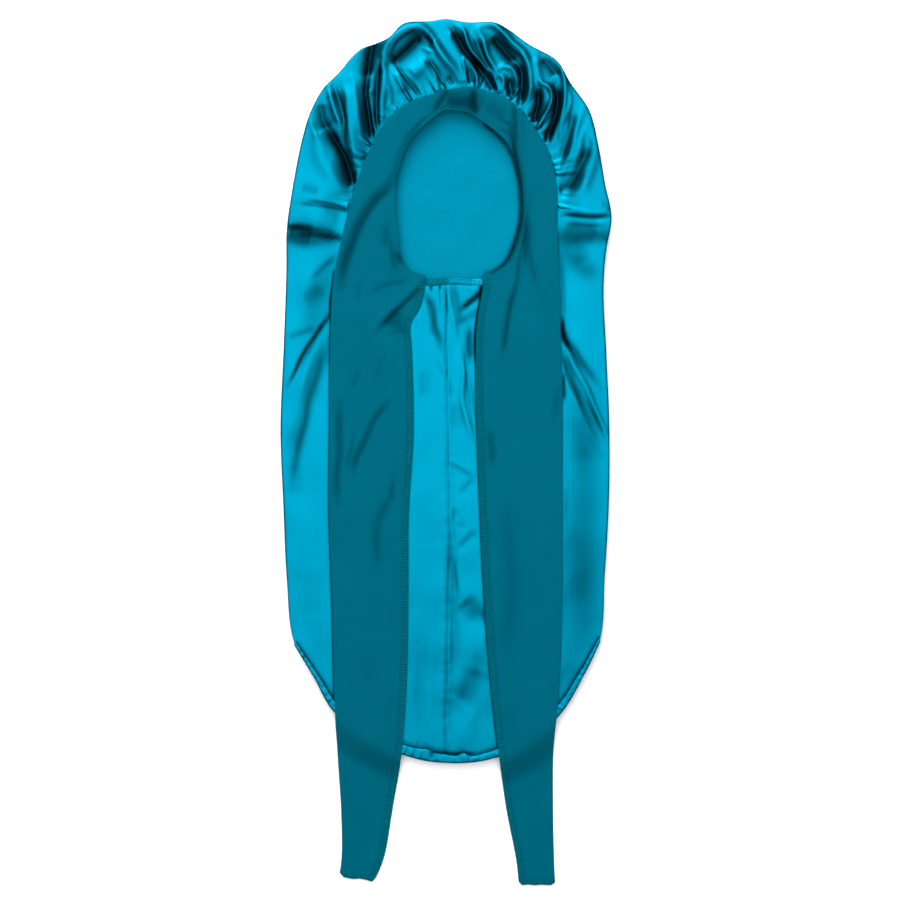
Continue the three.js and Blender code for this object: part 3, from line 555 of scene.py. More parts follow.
# Curves and distances

def smooth(value):
    """Rises from 0 to 1 with level ends, as 3 t squared less 2 t cubed."""
    t = np.clip(value, 0, 1)
    return t * t * (3 - 2 * t)


def curve_through(points, steps, loop=False):
    """A centripetal Catmull-Rom curve through the points: between two points a cubic whose slope at each
    comes from its neighbours, with a knot spacing of the square root of the distance. steps is the number
    of samples after each point."""
    p = np.array(points, float)
    spans = len(p) if loop else len(p) - 1
    if loop:
        before, after, second = np.roll(p, 1, 0), np.roll(p, -1, 0), np.roll(p, -2, 0)
    else:
        padded = np.concatenate([[2 * p[0] - p[1]], p, [2 * p[-1] - p[-2]]])
        before, p, after, second = padded[:-3], padded[1:-2], padded[2:-1], padded[3:]
    pairs = ((before, p), (p, after), (after, second))
    d0, d1, d2 = (np.sqrt(np.linalg.norm(b - a, axis=1))[:, None] for a, b in pairs)
    slope1 = ((p - before) / d0 - (after - before) / (d0 + d1) + (after - p) / d1) * d1
    slope2 = ((after - p) / d1 - (second - p) / (d1 + d2) + (second - after) / d2) * d1
    span = np.repeat(np.arange(spans), steps)
    t = (np.tile(np.arange(steps), spans) / steps)[:, None]
    a, b, m, n = p[span], after[span], slope1[span], slope2[span]
    curve = a * (2 * t**3 - 3 * t**2 + 1) + m * (t**3 - 2 * t**2 + t)
    curve = curve + b * (3 * t**2 - 2 * t**3) + n * (t**3 - t**2)
    return curve if loop else np.concatenate([curve, after[-1:]])


def nearest_on(points, chain):
    """The shortest distance from each point to a chain of straight segments, and how far along the chain
    its nearest place is."""
    best = np.full(len(points), np.inf)
    along = np.zeros(len(points))
    passed = 0.0
    for start, step in zip(chain[:-1], np.diff(chain, axis=0)):
        length = max(np.hypot(*step), 1e-9)
        t = np.clip((points - start) @ step / length**2, 0, 1)
        away = np.hypot(*(points - start - t[:, None] * step).T)
        closer = away < best
        best = np.where(closer, away, best)
        along = np.where(closer, passed + t * length, along)
        passed += length
    return best, along


def inside(points, chain):
    """Whether each point lies inside a closed chain, by the crossings of a line drawn to its right."""
    x, y = points.T
    found = np.zeros(len(points), bool)
    for (ax, ay), (bx, by) in zip(chain[:-1], chain[1:]):
        crosses = (ay > y) != (by > y)
        if crosses.any():
            found ^= crosses & (x < ax + (y - ay) * (bx - ax) / (by - ay if by != ay else 1e-9))
    return found


def outside_distance(points, chain):
    """How far each point is outside a closed chain, 0 inside it."""
    return np.where(inside(points, chain), 0, nearest_on(points, chain)[0])


def lengths_along(chain):
    """How far along a chain in plan each of its points is."""
    return np.concatenate([[0], np.cumsum(np.hypot(*np.diff(chain, axis=0).T))])


def places_at(where, along, chain):
    """The places on a chain at some lengths along it, or at some shares, by straight lines between its
    points."""
    return np.stack([np.interp(where, along, chain[:, k]) for k in range(chain.shape[1])], -1)


def resample(chain, count):
    """That many places along a chain, evenly spaced by its length."""
    along = lengths_along(chain)
    return places_at(np.linspace(0, along[-1], count), along, chain)


def count_at_spacing(chain, spacing):
    """How many places a chain needs at that spacing."""
    return int(lengths_along(chain)[-1] / spacing) + 1


def inward_from(chain):
    """Directions of length 1 in plan, square to a chain that runs clockwise round the bag, to its inside."""
    ahead = np.gradient(chain, axis=0)
    return np.stack([ahead[:, 1], -ahead[:, 0]], 1) / np.hypot(*ahead.T)[:, None]


def closed(chain):
    """A chain with its first point repeated at its end."""
    return np.concatenate([chain, chain[:1]])


SIDES = [section.side for section in BAG_SECTIONS]
RIMS = [section.rim for section in BAG_SECTIONS]
side_curve = curve_through(SIDES, 12, loop=True)
rim_curve = curve_through(RIMS, 12, loop=True)
side_fold_start, crown_start, crown_end, side_fold_end = (
    12 * SIDES.index(place) for place in (CORNERS[1], CROWN_ENDS[0], CROWN_ENDS[1], CORNERS[0])
)
left_side = side_curve[side_fold_start : crown_start + 1]
right_side = side_curve[crown_end : side_fold_end + 1]
crown_side = np.concatenate([side_curve[crown_start:], side_curve[: crown_end + 1]])
crown_rim = np.concatenate([rim_curve[crown_start:], rim_curve[: crown_end + 1]])
nape_rim = rim_curve[crown_end : crown_start + 1]
bag_outline = closed(side_curve[::3])
side_fold = np.concatenate([left_side, crown_side[1:], right_side[1:]])[::2]
hem_curve = curve_through([point.hem for point in HEM], 40)
hem_heights = np.interp(np.arange(len(hem_curve)) / 40, np.arange(len(HEM)), [point.height for point in HEM])
casing_curve = curve_through(CASING_HEIGHTS, 8)
between_ties = (hem_curve[:, 1] < -200) & (np.abs(hem_curve[:, 0]) < 62)
hem_heights = np.where(between_ties, np.interp(hem_curve[:, 0], *casing_curve.T), hem_heights)
strip_inner = curve_through([station.inner for station in STRIP_STATIONS], 4)
strip_outer = curve_through([station.outer for station in STRIP_STATIONS], 4)
strip_outline = closed(np.concatenate([strip_inner, strip_outer[::-1]])[::2])
within_band = closed(strip_outer[::2])
plan_low = np.minimum(side_curve.min(0), np.minimum(strip_inner.min(0), strip_outer.min(0)))
plan_high = np.maximum(side_curve.max(0), np.maximum(strip_inner.max(0), strip_outer.max(0)))
PLAN_MIDDLE = (plan_low + plan_high) / 2


# Heights

def relief(points, folds, shape="round"):
    """The sum of the folds. Each stands up or sinks by its lift along its path, a little less towards the
    path's ends. To the sides a round one falls away as a bell curve of its width, and a pointed one as
    exp(-(sqrt(d squared + e squared) - e) / (0.8 width)), which is nearly a V with a small radius e."""
    total = np.zeros(len(points))
    for fold in folds:
        path = np.array(fold.path, float)
        reach = 3.2 * fold.width + 2
        near = ((points > path.min(0) - reach) & (points < path.max(0) + reach)).all(1)
        if near.any():
            curve = curve_through(path, 5)
            away, along = nearest_on(points[near], curve)
            share = along / lengths_along(curve)[-1]
            ends = 0.3 + 0.7 * smooth(share / 0.22) * smooth((1 - share) / 0.22)
            if shape == "pointed":
                across = np.exp(-(np.hypot(away, POINT_RADIUS) - POINT_RADIUS) / (0.8 * fold.width))
            else:
                across = np.exp(-((away / fold.width) ** 2))
            total[near] += fold.lift * ends * across
    return total


def painted_shade(points, valleys, hollows):
    """How deep each point lies in the folds: the valleys and hollows alone, taken downwards. The materials
    are painted darker there as painted shade, as cloth is in a fold that sees little light."""
    return np.maximum(-relief(points, valleys, "pointed") - relief(points, hollows), 0)


def painted_edge_shade(points):
    """How much painted shade the satin gets along what is sewn to it or lies on it, in the same millimetres
    as the folds' depth: beside the ties, most of all at the left edge of each, in the hem's stitched line,
    where the hem is bunched up more, and in the centre seam, more so below the nape. Each is an amount
    times exp(-(distance / width) squared)."""
    y = points[:, 1]
    line = lambda chain, width: np.exp(-((nearest_on(points, chain)[0] / width) ** 2))
    below_band = smooth((176 - y) / 6)
    shade = 7 * line(strip_outer[strip_outer[:, 0] < 0], 1.5) * below_band
    shade += 7 * line(strip_inner[strip_inner[:, 0] > 0], 1.5) * below_band
    shade += 1.5 * line(strip_outer[strip_outer[:, 0] > 0], 1.2)
    shade += 1.2 * line(strip_inner[strip_inner[:, 0] < 0], 1.2)
    bunched = 0.6 + 0.6 * smooth((points[:, 0] + 16) / 5) * smooth((30 - points[:, 0]) / 8)
    shade += 7 * bunched * line(hem_inset(STITCH_SHARE)[::6], 1.3)
    shade += 2.2 * bunched * line(hem_inset(1.35)[::6], 2.6)
    shade += (1.8 + 1.6 * smooth((y - 95) / 15)) * line(curve_through(SEAM, 6), 0.9)
    return shade


def heights_at(y):
    """Seat and crest heights at each y, smoothly between the stations."""
    rows = np.array(HEIGHTS, float)
    index = np.clip(np.searchsorted(rows[:, 0], y), 1, len(rows) - 1)
    a, b = rows[index - 1], rows[index]
    t = smooth((y - a[:, 0]) / (b[:, 0] - a[:, 0]))[:, None]
    return (a + (b - a) * t).T[1:]


def roll_up(points):
    """From 0 at the side fold to 1 at the roll's radius inside it, along a quarter of a squarish ellipse,
    whose power is the sharpness."""
    away = np.clip(nearest_on(points, side_fold)[0] / ROLL_RADIUS, 0, 1)
    return (1 - (1 - away) ** ROLL_SHARPNESS) ** (1 / ROLL_SHARPNESS)


def puffs(along, away, span, pitch, lift, reach, seed):
    """Puffs side by side along an edge, each between two pinched lines. Each is its lift times sin(pi t) to
    the power 0.8, with t from 0 to 1 between its lines, and fades as exp(-(away / reach) to the power 1.4).
    Their lines lean a little to and fro. Pitch, lift and reach are the lowest and the highest value."""
    rng = np.random.default_rng(seed)
    count = int((span[1] - span[0]) / np.mean(pitch))
    lines = np.cumsum(rng.uniform(*pitch, count))
    lines = span[0] + (span[1] - span[0]) * (lines - lines[0]) / (lines[-1] - lines[0])
    lifts = rng.uniform(*lift, count)
    reaches = rng.uniform(*reach, count)
    place = along + 0.22 * np.maximum(away, 0) * np.sin(along / 19 + seed)
    index = np.clip(np.searchsorted(lines, place) - 1, 0, count - 2)
    t = np.clip((place - lines[index]) / (lines[index + 1] - lines[index]), 0, 1)
    fade = np.exp(-((np.maximum(away, 0) / reaches[index]) ** 1.4))
    return lifts[index] * np.sin(np.pi * t) ** 0.8 * fade


def soft_waves(points, wavelength, seed, count=7):
    """Gentle uneven waves: the mean of sines in random directions, each near the wavelength."""
    rng = np.random.default_rng(seed)
    angle = rng.uniform(0, np.pi, count)
    size = 2 * np.pi / (wavelength * rng.uniform(0.7, 1.4, count))
    phase = rng.uniform(0, 2 * np.pi, count)
    across = points @ np.stack([np.cos(angle), np.sin(angle)])
    return np.sin(across * size + phase).mean(1) * np.sqrt(2)


def seam_x(y):
    """Where the centre seam is at each y, on a smooth curve through its table."""
    line = curve_through(SEAM, 10)[::-1]
    return np.interp(y, line[:, 1], line[:, 0])


def centre_seam(points):
    """A pressed seam: a narrow pointed groove, with the cloth to its right a little higher than the cloth
    to its left, and small puckers along it."""
    x, y = points.T
    across = x - seam_x(y)
    groove = -0.5 * np.exp(-(np.hypot(across, 0.3) - 0.3) / 0.6)
    step = 0.25 * np.exp(-((across - 2.2) / 2.4) ** 2) * (across > 0)
    pucker = 0.10 * np.sin(y / 1.9 + 3 * np.sin(y / 17)) * np.exp(-((across / 4.5) ** 2))
    return (groove + step + pucker) * smooth((NAPE_LINE + 2 - y) / 6)


def front_height(points, fine=False):
    """Height of the bag's front layer. It is the seat under the strip, rises to the crest of the gathers
    outside the band, carries the folds, and rolls down to the side fold. fine adds the gathers along the
    band, the nape and the hem, the centre seam and soft waves, which fade out under the strip."""
    from_strip = outside_distance(points, strip_outline)
    away, along = nearest_on(points, within_band)
    from_band = np.where(inside(points, within_band), 0, away)
    seat, crest = heights_at(points[:, 1])
    loose = smooth(from_strip / FREE_FOLD_DISTANCE)
    free = UNDER_BAND_RELIEF + (1 - UNDER_BAND_RELIEF) * loose
    folds = relief(points, SATIN_RIDGES) + relief(points, SATIN_HOLLOWS)
    folds = folds + relief(points, SATIN_VALLEYS, "pointed")
    height = seat + (crest - seat) * smooth(from_band / GATHER_RISE) + free * FOLD_LIFT * folds
    if fine:
        left, right = nearest_on(np.array(CHEEKS), within_band)[1]
        x, y = points.T
        at_crown = smooth((y - 205) / 30) * smooth(from_band / 1.5)
        height = height + at_crown * puffs(along, from_band, (left, right), *BAND_PUFFS)
        at_nape = smooth((NAPE_LINE - y) / 2) * (y > 80) * loose
        height = height + at_nape * puffs(x, NAPE_LINE - y, (-24, 36), *NAPE_PUFFS)
        from_hem, along_hem = nearest_on(points, hem_curve[::8])
        above = from_hem - np.interp(along_hem, *hem_along())
        at_hem = smooth(above / 2) * (y < 0) * smooth((75 - np.abs(x)) / 20)
        height = height + at_hem * puffs(along_hem, above, (0, 400), *HEM_PUFFS)
        height = height + loose * (0.3 * soft_waves(points, 42, 3) + 0.02 * soft_waves(points, 12, 5))
        height = height + loose * centre_seam(points)
    return height - EDGE_DROP * (1 - roll_up(points))


def hem_along():
    """Lengths along the hem, and the casing's height at each."""
    return lengths_along(hem_curve[::8]), hem_heights[::8]


def lying_height(points):
    """Height of what lies on the bag: just over its front layer, and past its edge down to the surface."""
    within = inside(points, bag_outline)
    fall = smooth(nearest_on(points, bag_outline)[0] / DROP_LENGTH)
    seat = heights_at(points[:, 1])[0]
    return np.where(within, front_height(points) + CLEAR_GAP, (seat + CLEAR_GAP) * (1 - fall))


# Meshes

def to_place(vertices):
    """Table millimetres to metres in the shared frame, whose origin is under the middle of the bonnet."""
    vertices = np.array(vertices, float).reshape(-1, 3)
    return (vertices - [PLAN_MIDDLE[0], PLAN_MIDDLE[1], 0]) * MM


def grid_faces(rows, columns, wrap=False, first=0):
    """The four-sided faces of a grid with that many rows and columns of points, row by row. With wrap the
    last column joins the first."""
    r = np.arange(rows - 1)[:, None]
    c = np.arange(columns if wrap else columns - 1)[None]
    after = (c + 1) % columns
    row, above = r * columns, (r + 1) * columns
    return np.stack([row + c, row + after, above + after, above + c], -1).reshape(-1, 4) + first


def facing(grid, up):
    """The grid turned over, if need be, so that its faces look up on the whole, or down."""
    across = np.cross(grid[:-1, 1:] - grid[:-1, :-1], grid[1:, :-1] - grid[:-1, :-1])[..., 2].sum()
    return grid if (across > 0) == up else grid[:, ::-1]


def welded(grids):
    """Several grids of points joined into one set of vertices and faces, with points at one place made
    one."""
    vertices = np.concatenate([grid.reshape(-1, 3) for grid in grids])
    first = np.cumsum([0] + [grid.shape[0] * grid.shape[1] for grid in grids])
    faces = np.concatenate([grid_faces(*grid.shape[:2], first=start) for grid, start in zip(grids, first)])
    kept, same = np.unique(np.round(vertices, 4), axis=0, return_inverse=True)
    faces = same.reshape(-1)[faces]
    distinct = (np.sort(faces, axis=1)[:, 1:] != np.sort(faces, axis=1)[:, :-1]).all(1)
    return kept, faces[distinct]


def new_piece(name, vertices, faces, material, uv=None, deep=None):
    """A smooth-shaded mesh piece in the shared frame that rides with the bonnet. uv holds one place per
    vertex, and deep the painted shade at each, in millimetres of fold depth."""
    used, faces = np.unique(faces, return_inverse=True)
    faces = faces.reshape(-1, 4)
    points = to_place(vertices)[used]
    mesh = bpy.data.meshes.new(name)
    mesh.vertices.add(len(points))
    mesh.vertices.foreach_set("co", points.ravel())
    mesh.loops.add(faces.size)
    mesh.loops.foreach_set("vertex_index", faces.ravel())
    mesh.polygons.add(len(faces))
    mesh.polygons.foreach_set("loop_start", np.arange(0, faces.size, 4))
    mesh.update(calc_edges=True)
    mesh.polygons.foreach_set("use_smooth", np.ones(len(faces), bool))
    if uv is not None:
        layer = mesh.uv_layers.new(name="cloth")
        layer.data.foreach_set("uv", (np.array(uv, float).reshape(-1, 2)[used] * MM)[faces.ravel()].ravel())
    # The painted shade amounts, which the materials read to darken their colour.
    if deep is not None:
        attribute = mesh.attributes.new("painted_shade", "FLOAT", "POINT")
        attribute.data.foreach_set("value", np.asarray(deep, float)[used])
    mesh.materials.append(material)
    mesh.validate()
    piece = bpy.data.objects.new(name, mesh)
    bpy.context.scene.collection.objects.link(piece)
    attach(piece, "root")
    return piece


def thicken(piece, thickness, reverse=None):
    """Gives a sheet its thickness, inwards from its outer face, and its inner face the reverse material."""
    solidify = piece.modifiers.new("cloth thickness", "SOLIDIFY")
    solidify.thickness = thickness * MM
    solidify.offset = -1
    if reverse is not None:
        piece.data.materials.append(reverse)
        solidify.material_offset = 1


def tubes(paths, radius):
    """Six-sided threads carried along many paths at once, an array of paths, points and x y z. Each ring is
    the path's point plus the radius times cos and sin of the turn along the path's side and its own up
    direction. The first and last ring are drawn in, and two faces close each."""
    paths = np.asarray(paths, float)
    count, length, _ = paths.shape
    ahead = np.gradient(paths, axis=1)
    ahead /= np.maximum(np.linalg.norm(ahead, axis=2, keepdims=True), 1e-9)
    side = np.cross(ahead, np.broadcast_to(np.array([0.0, 0.0, 1.0]), ahead.shape))
    side /= np.maximum(np.linalg.norm(side, axis=2, keepdims=True), 1e-9)
    rise = np.cross(side, ahead)
    turn = np.linspace(0, 2 * np.pi, THREAD_SIDES, endpoint=False)
    size = np.full(length, float(radius))
    size[[0, -1]] *= 0.5
    ring = np.cos(turn)[:, None] * side[:, :, None] + np.sin(turn)[:, None] * rise[:, :, None]
    vertices = paths[:, :, None] + ring * size[None, :, None, None]
    cap = np.array([(0, 1, 2, 3), (0, 3, 4, 5)])
    far_cap = cap[:, ::-1] + (length - 1) * THREAD_SIDES
    one = np.concatenate([grid_faces(length, THREAD_SIDES, wrap=True)[:, ::-1], cap, far_cap])
    faces = (one[None] + np.arange(count)[:, None, None] * length * THREAD_SIDES).reshape(-1, 4)
    return vertices.reshape(-1, 3), faces


# Materials

def new_material(name):
    """An empty node material with a Principled surface, its node tree and the surface's node."""
    material = bpy.data.materials.new(name)
    material.use_nodes = True
    tree = material.node_tree
    surface = tree.nodes["Principled BSDF"]
    return material, tree, surface


def new_group(name, inputs, outputs):
    """A shader node group with named sockets, and its input and output nodes."""
    group = bpy.data.node_groups.new(name, "ShaderNodeTree")
    for socket, kind, value in inputs:
        made = group.interface.new_socket(socket, in_out="INPUT", socket_type=kind)
        if value is not None:
            made.default_value = value
    for socket, kind in outputs:
        group.interface.new_socket(socket, in_out="OUTPUT", socket_type=kind)
    return group, group.nodes.new("NodeGroupInput"), group.nodes.new("NodeGroupOutput")


def math_node(tree, operation, *values):
    """A Math node with its values or links set, and its result."""
    node = tree.nodes.new("ShaderNodeMath")
    node.operation = operation
    for i, value in enumerate(values):
        if isinstance(value, (int, float)):
            node.inputs[i].default_value = value
        else:
            tree.links.new(value, node.inputs[i])
    return node.outputs[0]


def stretched_noise(tree, vector, scale, detail, stretch):
    """A noise texture's value over that vector times the stretch, in repeats per metre."""
    mapping = tree.nodes.new("ShaderNodeMapping")
    mapping.inputs["Scale"].default_value = stretch
    tree.links.new(vector, mapping.inputs["Vector"])
    node = tree.nodes.new("ShaderNodeTexNoise")
    node.inputs["Scale"].default_value = scale
    node.inputs["Detail"].default_value = detail
    tree.links.new(mapping.outputs[0], node.inputs["Vector"])
    return node.outputs["Fac"]


def make_uneven_dye():
    """Soft patches over a cloth's colour: a broad noise, put out as a share from 0 to 1."""
    group, into, out = new_group(
        "Uneven dye",
        [("Vector", "NodeSocketVector", None), ("Patches per metre", "NodeSocketFloat", 18.0)],
        [("Share", "NodeSocketFloat")],
    )
    broad = group.nodes.new("ShaderNodeTexNoise")
    group.links.new(into.outputs["Vector"], broad.inputs["Vector"])
    group.links.new(into.outputs["Patches per metre"], broad.inputs["Scale"])
    group.links.new(broad.outputs["Fac"], out.inputs["Share"])
    return group


def make_satin_weave():
    """The satin's face: long floats that run one way, as a noise stretched along them, put out as a height
    and as a share for the roughness."""
    group, into, out = new_group(
        "Satin weave",
        [("Vector", "NodeSocketVector", None)],
        [("Height", "NodeSocketFloat"), ("Streaks", "NodeSocketFloat")],
    )
    vector = into.outputs["Vector"]
    floats = stretched_noise(group, vector, 1500, 2, (1.0, 0.18, 1.0))
    streaks = stretched_noise(group, vector, 260, 3, (1.0, 0.25, 1.0))
    height = math_node(group, "ADD", floats, math_node(group, "MULTIPLY", streaks, 0.8))
    group.links.new(height, out.inputs["Height"])
    group.links.new(streaks, out.inputs["Streaks"])
    return group


def make_fine_knit():
    """Jersey: wales that run along the strip and courses across them, each a sine of the cloth's own
    coordinates, added into small stitches."""
    group, into, out = new_group(
        "Fine knit",
        [
            ("Vector", "NodeSocketVector", None),
            ("Wales per metre", "NodeSocketFloat", 800.0),
            ("Courses per metre", "NodeSocketFloat", 1000.0),
        ],
        [("Height", "NodeSocketFloat")],
    )
    split = group.nodes.new("ShaderNodeSeparateXYZ")
    group.links.new(into.outputs["Vector"], split.inputs[0])

    def sine_along(axis, count):
        turns = math_node(group, "MULTIPLY", split.outputs[axis], into.outputs[count])
        return math_node(group, "SINE", math_node(group, "MULTIPLY", turns, 6.283185))

    wale = math_node(group, "ABSOLUTE", sine_along(0, "Wales per metre"))
    course = math_node(group, "MULTIPLY", sine_along(1, "Courses per metre"), 0.3)
    group.links.new(math_node(group, "ADD", wale, course), out.inputs["Height"])
    return group


def use_group(tree, group, vector, **values):
    """A group placed in a material, fed with that vector and those named values."""
    node = tree.nodes.new("ShaderNodeGroup")
    node.node_tree = group
    tree.links.new(vector, node.inputs["Vector"])
    for name, value in values.items():
        node.inputs[name.replace("_", " ")].default_value = value
    return node


def colour_between(tree, share, low, high):
    """A colour that goes from low to high with the share."""
    ramp = tree.nodes.new("ShaderNodeMix")
    ramp.data_type = "RGBA"
    tree.links.new(share, ramp.inputs["Factor"])
    ramp.inputs["A"].default_value = (*low, 1)
    ramp.inputs["B"].default_value = (*high, 1)
    return ramp.outputs["Result"]


def add_bump(tree, surface, height, strength, distance):
    """Feeds a height through a Bump node to the surface's normal."""
    bump = tree.nodes.new("ShaderNodeBump")
    bump.inputs["Strength"].default_value = strength
    bump.inputs["Distance"].default_value = distance
    tree.links.new(height, bump.inputs["Height"])
    tree.links.new(bump.outputs["Normal"], surface.inputs["Normal"])


def darken_by_painted_shade(tree, colour, least, depth, power=1.4):
    """Painted shade: the colour times a factor that falls from 1 towards the least as exp(-(shade / depth)
    to the power), with the shade attribute and the depth in millimetres."""
    painted_shade_input = tree.nodes.new("ShaderNodeAttribute")
    painted_shade_input.attribute_name = "painted_shade"
    share = math_node(tree, "POWER", math_node(tree, "MULTIPLY", painted_shade_input.outputs["Fac"], 1 / depth), power)
    fade = math_node(tree, "EXPONENT", math_node(tree, "MULTIPLY", share, -1.0))
    share = math_node(tree, "MULTIPLY_ADD", fade, 1 - least, least)
    shade = tree.nodes.new("ShaderNodeMix")
    shade.data_type = "RGBA"
    shade.blend_type = "MULTIPLY"
    shade.inputs["Factor"].default_value = 1
    tree.links.new(colour, shade.inputs["A"])
    tree.links.new(share, shade.inputs["B"])
    return shade.outputs["Result"]


SHEEN = (0.0, 0.5, 0.75, 1)
UNEVEN_DYE = make_uneven_dye()
SATIN_WEAVE = make_satin_weave()
FINE_KNIT = make_fine_knit()


def satin_material():
    """Glossy polyester satin, cyan blue. Most of its light is a soft reflection, so it is metallic with a
    dark tint."""
    material, tree, surface = new_material("Cyan satin")
    place = tree.nodes.new("ShaderNodeTexCoord").outputs["Object"]
    dye = use_group(tree, UNEVEN_DYE, place, Patches_per_metre=14.0)
    weave = use_group(tree, SATIN_WEAVE, place)
    share = math_node(tree, "ADD", dye.outputs["Share"], weave.outputs["Streaks"])
    share = math_node(tree, "MULTIPLY", share, 0.5)
    colour = colour_between(tree, share, (0.0, 0.083, 0.138), (0.0, 0.135, 0.205))
    # Painted shade: darker where the piece's fold and edge shade amount is high.
    colour = darken_by_painted_shade(tree, colour, 0.03, 4.1)
    tree.links.new(colour, surface.inputs["Base Color"])
    rough = math_node(tree, "MULTIPLY_ADD", weave.outputs["Streaks"], 0.12, 0.30)
    tree.links.new(rough, surface.inputs["Roughness"])
    surface.inputs["Metallic"].default_value = 1.0
    surface.inputs["Specular Tint"].default_value = SHEEN
    add_bump(tree, surface, weave.outputs["Height"], 0.10, 0.0002)
    return material


def satin_reverse_material():
    """The satin's dull reverse, paler than its face."""
    material, tree, surface = new_material("Satin reverse")
    place = tree.nodes.new("ShaderNodeTexCoord").outputs["Object"]
    dye = use_group(tree, UNEVEN_DYE, place, Patches_per_metre=16.0)
    weave = use_group(tree, SATIN_WEAVE, place)
    colour = colour_between(tree, dye.outputs["Share"], (0.0, 0.141, 0.220), (0.0, 0.153, 0.236))
    # Painted shade: darker where the piece's shade amount is high.
    colour = darken_by_painted_shade(tree, colour, 0.05, 2.6)
    tree.links.new(colour, surface.inputs["Base Color"])
    surface.inputs["Roughness"].default_value = 0.7
    surface.inputs["Specular IOR Level"].default_value = 0.15
    surface.inputs["Specular Tint"].default_value = SHEEN
    add_bump(tree, surface, weave.outputs["Height"], 0.12, 0.0002)
    return material


def jersey_material():
    """Matte stretch jersey, dark teal."""
    material, tree, surface = new_material("Teal jersey")
    place = tree.nodes.new("ShaderNodeTexCoord")
    dye = use_group(tree, UNEVEN_DYE, place.outputs["Object"], Patches_per_metre=25.0)
    knit = use_group(tree, FINE_KNIT, place.outputs["UV"])
    colour = colour_between(tree, dye.outputs["Share"], (0.0, 0.069, 0.105), (0.0, 0.083, 0.122))
    # Painted shade: darker in the jersey's creases and under its threads.
    colour = darken_by_painted_shade(tree, colour, 0.12, 2.6, 1.15)
    tree.links.new(colour, surface.inputs["Base Color"])
    surface.inputs["Roughness"].default_value = 0.85
    surface.inputs["Specular IOR Level"].default_value = 0.15
    surface.inputs["Specular Tint"].default_value = SHEEN
    add_bump(tree, surface, knit.outputs["Height"], 0.35, 0.00015)
    return material


def thread_material(name, low, high):
    """Spun polyester sewing thread between two shades."""
    material, tree, surface = new_material(name)
    place = tree.nodes.new("ShaderNodeTexCoord").outputs["Object"]
    dye = use_group(tree, UNEVEN_DYE, place, Patches_per_metre=500.0)
    colour = colour_between(tree, dye.outputs["Share"], low, high)
    tree.links.new(colour, surface.inputs["Base Color"])
    surface.inputs["Roughness"].default_value = 0.6
    surface.inputs["Specular IOR Level"].default_value = 0.15
    surface.inputs["Specular Tint"].default_value = SHEEN
    return material


SATIN = satin_material()
REVERSE = satin_reverse_material()
JERSEY = jersey_material()
OVERLOCK_THREAD = thread_material("Overlock thread", (0.0, 0.07, 0.095), (0.0, 0.20, 0.24))
SEWING_THREAD = thread_material("Sewing thread", (0.0, 0.02, 0.05), (0.0, 0.045, 0.09))


# Satin bag

def make_front():
    """The satin's front layer, three grids joined. Over the crown, rays run from the side fold to the rim of
    the face opening. Below it, columns run from the crown's last rays and the nape's rim to the hem as a
    Coons patch: the blend of the upper and lower lines plus the blend of the two sides, less the blend of
    the four corners. The side fold is a quarter ellipse down to the surface."""
    at = np.arange(len(crown_side))
    pick = np.linspace(0, at[-1], count_at_spacing(crown_side, RAY_SPACING))
    outer, inner = places_at(pick, at, crown_side), places_at(pick, at, crown_rim)
    t = np.linspace(0, 1, CROWN_RINGS)
    share = (t * (0.4 + 0.6 * t))[:, None, None]
    crown = outer + (inner - outer) * share

    nape = resample(nape_rim, count_at_spacing(nape_rim, RIM_COLUMN_SPACING))
    top = np.concatenate([crown[:, -1], nape[1:-1], crown[::-1, 0]])
    right = resample(right_side, BODY_ROWS)
    left = resample(left_side[::-1], BODY_ROWS)
    inset = hem_inset(UNDER_CASING_SHARE)
    x_share = (top[:, 0] - top[0, 0]) / (top[-1, 0] - top[0, 0])
    hem_share = (inset[:, 0] - inset[0, 0]) / (inset[-1, 0] - inset[0, 0])
    bottom = places_at(x_share, hem_share, inset)
    v = np.linspace(0, 1, BODY_ROWS)[:, None, None]
    u = x_share[None, :, None]
    right = right + (bottom[0] - right[-1]) * v[:, 0] ** 8
    left = left + (bottom[-1] - left[-1]) * v[:, 0] ** 8
    body = (
        (1 - v) * top[None] + v * bottom[None] + (1 - u) * right[:, None] + u * left[:, None]
        - (1 - u) * (1 - v) * top[0] - u * (1 - v) * top[-1] - (1 - u) * v * bottom[0] - u * v * bottom[-1]
    )
    rise = lambda plan: front_height(plan.reshape(-1, 2), fine=True).reshape(plan.shape[:2])
    grids = [np.dstack([plan, rise(plan)]) for plan in (crown, body)]
    edge_line = np.concatenate([grids[1][::-1, -1], grids[0][0][1:], grids[1][:, 0][1:]])
    fold = side_roll(edge_line)
    vertices, faces = welded([facing(grids[0], True), facing(grids[1], True), facing(fold, False)])
    plan = vertices[:, :2]
    # Painted shade: darker by the depth of the valleys and hollows, beside the strip, the hem's stitches and
    # the seam, and in the listed shade places.
    deep = painted_shade(plan, SATIN_VALLEYS, SATIN_HOLLOWS) + painted_edge_shade(plan) - relief(plan, SATIN_SHADES)
    piece = new_piece("satin_front_cloth", vertices, faces, SATIN, deep=deep)
    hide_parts("satin_front")
    return piece, fold[-1]


def hem_inset(share):
    """The hem's line moved in by that share of the casing's height."""
    return hem_curve + inward_from(hem_curve) * hem_heights[:, None] * share


def side_roll(edge_line):
    """From the widest line of the side fold down and in to the surface. At each turn from 0 to a quarter it
    is inset by the ellipse's half width times 1 - cos, and its height is the edge's times 1 - sin."""
    turn = np.linspace(0, np.pi / 2, ROLL_RINGS)[:, None]
    inset = (1 - np.cos(turn)) * ROLL_INSET * edge_line[:, 2]
    low = SHEET_GAP + SATIN_THICK
    z = low + (edge_line[:, 2] - low) * (1 - np.sin(turn))
    plan = edge_line[None, :, :2] + inward_from(edge_line[:, :2])[None] * inset[..., None]
    return np.dstack([plan, z])


